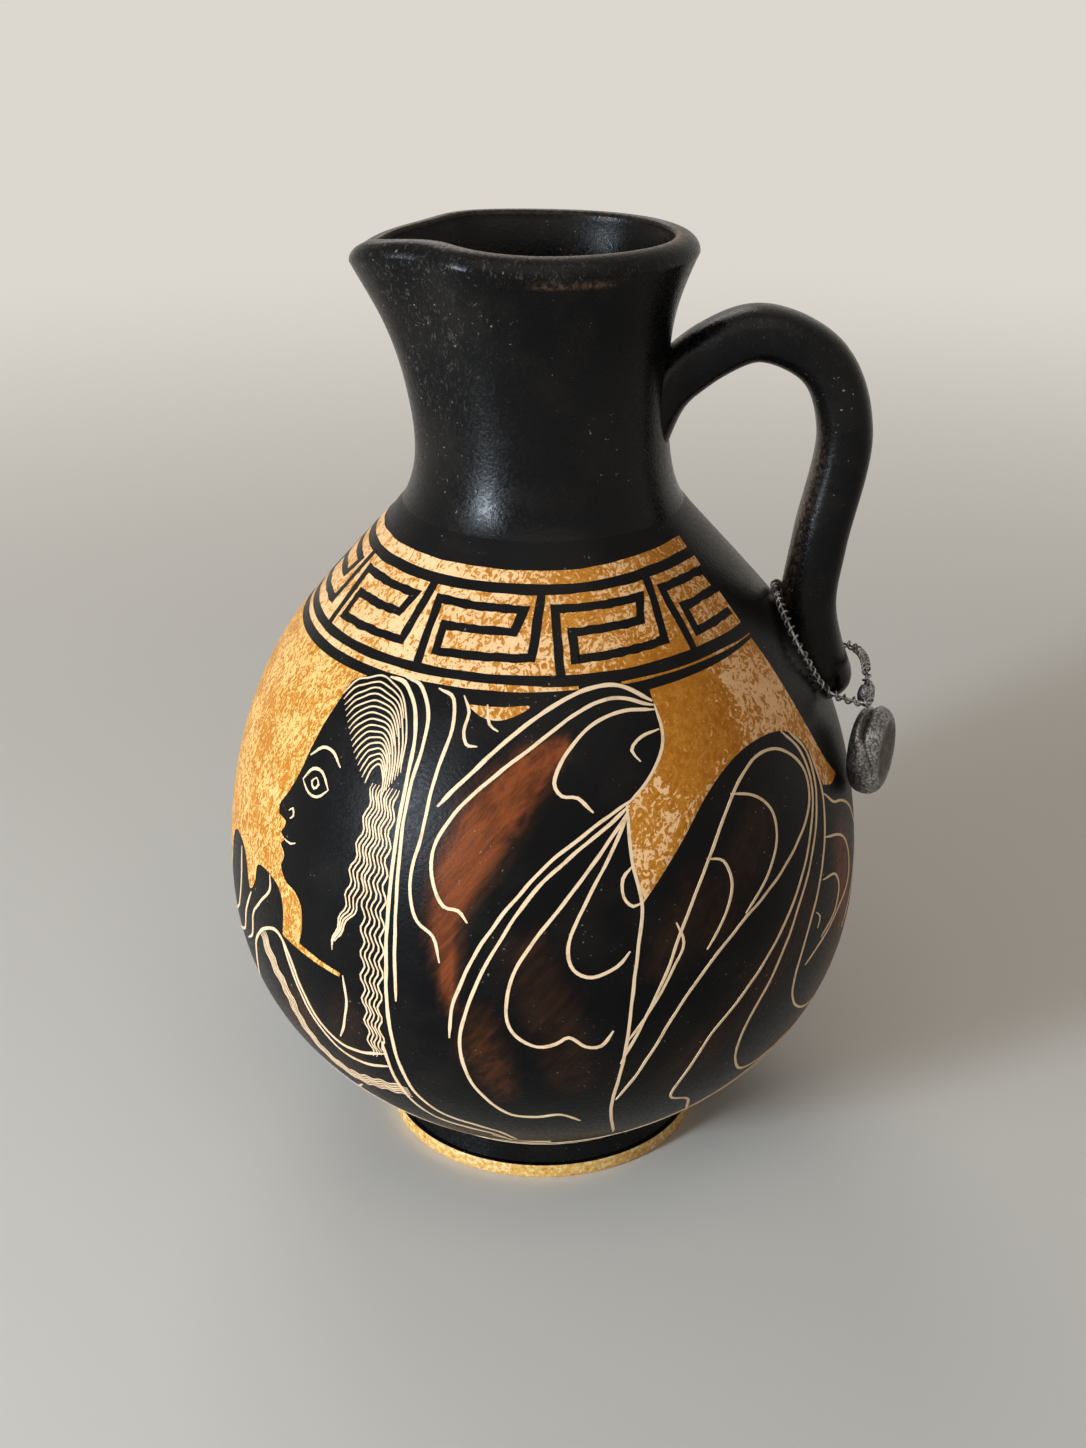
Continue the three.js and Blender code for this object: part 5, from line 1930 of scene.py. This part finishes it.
@dataclass
class LeadSeal:
    """The squeezed lead seal and the crimped ear over it."""

    radius: float = 7.6
    thickness: float = 5.3
    face_radius: float = 5.4
    turn: float = -24.0
    centre: Point = (55.242, -10.5, 75.194)
    ear: Point = (53.704, -10.5, 85.394)
    ear_lobes: tuple[tuple[Point, Point, float], ...] = (
        ((-0.55, -0.85, 0.15), (1.0, 1.4, 2.0), 16),
        ((0.6, 0.85, 0.1), (1.0, 1.45, 2.05), -20),
        ((0, 0, -1.3), (1.15, 1.4, 0.9), 0),
    )
    ear_dents: float = 0.16
    crease: float = 80.0
    segments: int = 96
    face_steps: int = 8
    rim_steps: int = 24
    # Share of painted shade on the flat face.
    face_shade: float = 0.96
    slit_depth: float = 1.5
    slit_offset: float = 0.5
    slit_half: float = 0.5
    slit_fade: Span = (38.0, 62.0)
    fold_depth: float = 0.55
    fold_half: float = 0.42
    fold_start: float = 46.0
    fold_slope: float = 0.045
    fold_rise: Span = (40.0, 56.0)
    fold_fade: Span = (96.0, 118.0)
    far_share: float = 0.6
    dish_depth: float = 0.4

    def build(self, lead: bpy.types.Material) -> None:
        """Makes the ear and the seal.

        Args:
            lead: The material of both.
        """
        ear, seal = self._ear(), self._seal()
        stand_up(ear, "crimped_ear", Body.WIRE_LOOP, Slot.LEAD, (lead,), ("seal_ear",), self.crease)
        stand_up(seal, "lead_seal_slug", Body.SEAL, Slot.LEAD, (lead,), ("lead_seal",), self.crease)

    def _ear(self) -> bmesh.types.BMesh:
        """Folds soft lobes round the wire's ends, over the stub that holds the seal.

        Returns:
            The ear, in metres.
        """
        mesh = bmesh.new()
        middle = Vector(self.ear)
        for offset, size, lean in self.ear_lobes:
            lobe = bmesh.ops.create_uvsphere(mesh, u_segments=24, v_segments=16, radius=1)["verts"]
            shape = Matrix.Translation(middle + Vector(offset))
            shape = shape @ Matrix.Rotation(math.radians(lean), 4, "X") @ Matrix.Diagonal((*size, 1))
            for vertex in lobe:
                place = shape @ vertex.co
                dent = self.ear_dents * noise.noise(place * 0.9)
                vertex.co = (place + (place - middle).normalized() * dent) * MM
        return mesh

    def _seal(self) -> bmesh.types.BMesh:
        """Turns the slug about its own axis, splits its rim at the top and beats dents into it.

        Returns:
            The seal, in metres.
        """
        half, rim = self.thickness / 2, self.radius - self.face_radius
        turns = [math.pi * (i / self.rim_steps - 0.5) for i in range(self.rim_steps + 1)]
        bulge = [(self.face_radius + rim * abs(math.cos(t)), half * math.sin(t)) for t in turns]
        face = [(self.face_radius * i / self.face_steps, -half) for i in range(self.face_steps)]
        profile = [*face, *bulge, *((r, half) for r, _ in face[::-1])]
        mesh = turn_profile([Vector(p) for p in profile], self.segments)
        stand = Matrix.Translation(Vector(self.centre))
        stand = stand @ Matrix.Rotation(math.radians(self.turn), 4, "Z")
        stand = stand @ Matrix.Rotation(math.pi / 2, 4, "Y")
        # The flat face is darkened with painted shade, the dents with dirt.
        layer = mesh.verts.layers.float.new("grime_and_shade")
        for vertex in mesh.verts:
            plain = vertex.co / MM
            beaten = self._beaten(plain)
            reach = math.hypot(plain.x, plain.y)
            on_face = 1 - smoothstep(reach, self.face_radius - 1.0, self.face_radius + 0.2)
            in_dents = smoothstep((plain - beaten).length, 0.3, 0.9)
            vertex[layer] = max(self.face_shade * on_face, in_dents)
            vertex.co = (stand @ beaten) * MM
        return mesh

    def _beaten(self, place: Vector) -> Vector:
        """Moves a point of the plain slug to where the pliers, the split and the knocks leave it.

        Args:
            place: The point in the slug's own frame, with Z along its axis, in millimetres.

        Returns:
            The moved point.
        """
        from_axis = Vector((place.x, place.y, 0))
        reach = from_axis.length
        outwards = from_axis / reach if reach > 1e-6 else Vector((0, 0, 0))
        down = math.degrees(math.atan2(abs(place.y), -place.x))
        on_rim = smoothstep(reach, self.face_radius, self.face_radius + 1.2)
        across = place.z + self.slit_offset
        slit = self.slit_depth * math.exp(-((across / self.slit_half) ** 2))
        slit *= 1 - smoothstep(down, *self.slit_fade)
        from_fold = across - (down - self.fold_start) * self.fold_slope
        fold = self.fold_depth * math.exp(-((from_fold / self.fold_half) ** 2))
        fold *= hump(down, self.fold_rise, self.fold_fade)
        knocks = 0.34 * noise.noise(place * 0.3 + Vector((3.1, 0, 0))) + 0.12 * noise.noise(place * 0.95)
        flat = 1 - smoothstep(reach, self.face_radius - 0.8, self.face_radius)
        uneven = 0.5 + noise.noise(place * 0.45 + Vector((0, 7.7, 0)))
        dish = max(0.0, self.dish_depth * flat * uneven)
        side = 1 if place.y < 0.5 else self.far_share
        depth = (slit + fold) * on_rim * side - min(knocks, 0.0) * on_rim
        return place - outwards * depth - Vector((0, 0, math.copysign(dish, place.z)))


@dataclass(frozen=True)
class Lamp:
    """One soft studio lamp, placed by azimuth, elevation and distance from the jug's middle."""

    name: str
    azimuth: float
    elevation: float
    distance: float
    size: tuple[float, float]
    power: float
    colour: Colour

    def light(self, aim: Vector) -> None:
        """Hangs the lamp and points it at a place in metres.

        Args:
            aim: The place.
        """
        data = bpy.data.lights.new(self.name, "AREA")
        data.shape, data.size, data.size_y = "RECTANGLE", *self.size
        data.energy, data.color = self.power, self.colour
        turn, up = math.radians(self.azimuth), math.radians(self.elevation)
        way = Vector((math.sin(turn) * math.cos(up), -math.cos(turn) * math.cos(up), math.sin(up)))
        lamp = bpy.data.objects.new(self.name, data)
        lamp.location = aim + way * self.distance
        lamp.rotation_euler = (-way).to_track_quat("-Z", "Y").to_euler()
        bpy.context.scene.collection.objects.link(lamp)


@dataclass
class Studio:
    """The camera, the lamps and the plain pale floor."""

    camera_place: Point = (0.0, -0.32758, 0.224)
    camera_dip: float = 24.45
    lens: float = 51.71
    sensor_width: float = 36.0
    clip_start: float = 0.01
    lamp_aim: Point = (0.0, 0.0, 0.085)
    floor_size: float = 8.0
    floor_fade: Span = (0.18, 0.75)
    floor_tone: Colour = (0.72, 0.68, 0.62)
    sky: Colour = (1.0, 0.97, 0.93)
    sky_strength: float = 0.15
    lamps: tuple[Lamp, ...] = (
        Lamp("window", -50, 14, 0.85, (0.3, 0.56), 2.8, (0.76, 0.88, 1.0)),
        Lamp("pane", -50, 10, 0.84, (0.1, 0.2), 6.2, (0.76, 0.88, 1.0)),
        Lamp("ceiling", 0, 56, 1.3, (1.3, 1.3), 4.5, (1.0, 0.92, 0.82)),
        Lamp("behind", -165, 40, 1.2, (0.6, 0.6), 2.6, (1.0, 0.97, 0.93)),
    )

    def set_up(self) -> None:
        """Stands the camera, hangs the lamps and lays the floor."""
        scene = bpy.context.scene
        scene.view_settings.view_transform = "Standard"
        data = bpy.data.cameras.new("photo_view")
        data.lens, data.sensor_width, data.sensor_fit = self.lens, self.sensor_width, "AUTO"
        data.clip_start = self.clip_start
        camera = bpy.data.objects.new("photo_view", data)
        camera.location = self.camera_place
        camera.rotation_euler = (math.radians(90 - self.camera_dip), 0, 0)
        scene.collection.objects.link(camera)
        scene.camera = camera
        for lamp in self.lamps:
            lamp.light(Vector(self.lamp_aim))
        self._sky(scene)
        self._floor()

    def _sky(self, scene: bpy.types.Scene) -> None:
        """Fills the room with a low even light, and closes the view with the floor's own tone.

        Args:
            scene: The scene that gets the world.
        """
        scene.world = bpy.data.worlds.new("room_light")
        scene.world.use_nodes = True
        nodes, links = scene.world.node_tree.nodes, scene.world.node_tree.links
        lit = nodes["Background"]
        lit.inputs["Color"].default_value = (*self.sky, 1.0)
        lit.inputs["Strength"].default_value = self.sky_strength
        wall = nodes.new("ShaderNodeBackground")
        wall.inputs["Color"].default_value = (*self.floor_tone, 1.0)
        path = nodes.new("ShaderNodeLightPath")
        seen = path.outputs["Is Camera Ray"]
        for ray in ("Is Glossy Ray", "Is Transmission Ray"):
            either = nodes.new("ShaderNodeMath")
            either.operation = "MAXIMUM"
            links.new(seen, either.inputs[0])
            links.new(path.outputs[ray], either.inputs[1])
            seen = either.outputs["Value"]
        mix = nodes.new("ShaderNodeMixShader")
        links.new(seen, mix.inputs["Fac"])
        links.new(lit.outputs["Background"], mix.inputs[1])
        links.new(wall.outputs["Background"], mix.inputs[2])
        links.new(mix.outputs["Shader"], nodes["World Output"].inputs["Surface"])

    def _floor(self) -> None:
        """Lays the floor, which keeps the jug's shadow and fades to one pale tone further off."""
        mesh = bmesh.new()
        bmesh.ops.create_grid(mesh, x_segments=8, y_segments=8, size=self.floor_size)
        data = bpy.data.meshes.new("floor")
        mesh.to_mesh(data)
        mesh.free()
        bench = Bench("pale_floor")
        bench.surface(self.floor_tone, 0.8, specular=0.2)
        glow = bench.add("ShaderNodeEmission")
        glow.inputs["Color"].default_value = (*self.floor_tone, 1.0)
        away = bench.add("ShaderNodeVectorMath", operation="LENGTH")
        bench.feed(away.inputs[0], bench.position)
        path = bench.add("ShaderNodeLightPath")
        seen = bench.most(path.outputs["Is Camera Ray"], path.outputs["Is Glossy Ray"])
        seen = bench.most(seen, path.outputs["Is Transmission Ray"])
        share = bench.times(bench.step(away.outputs["Value"], *self.floor_fade), seen)
        mix = bench.add("ShaderNodeMixShader")
        bench.feed(mix.inputs["Fac"], share)
        bench.feed(mix.inputs[1], bench.shader.outputs["BSDF"])
        bench.feed(mix.inputs[2], glow.outputs["Emission"])
        bench.feed(bench.tree.nodes["Material Output"].inputs["Surface"], mix.outputs["Shader"])
        data.materials.append(bench.material)
        floor = bpy.data.objects.new("floor", data)
        bpy.context.scene.collection.objects.link(floor)


def main() -> None:
    """Builds the jug piece by piece, and each piece notes how many faces it has."""
    logging.basicConfig(level=logging.INFO, format="%(name)s: %(message)s")
    Studio().set_up()
    shape = JugShape()
    belly, neck = shape.belly(), shape.neck()
    glossy = BlackSlip("glossy_slip", gloss=(0.15, 0.36), specular=0.14).material()
    satin = BlackSlip("satin_slip", gloss=(0.28, 0.42), specular=0.1).material()
    Foot().build(shape, glossy, GoldEdge().material())
    Belly().build(shape, belly, satin)
    Neck().build(shape, neck, glossy)
    Handle().build(shape, belly, neck, glossy)
    BellyPicture(Skin(belly), KeyBand(), satin).build()
    WireLoop().build(DullWire().material())
    LeadSeal().build(OldLead().material())


if __name__ == "__main__":
    main()
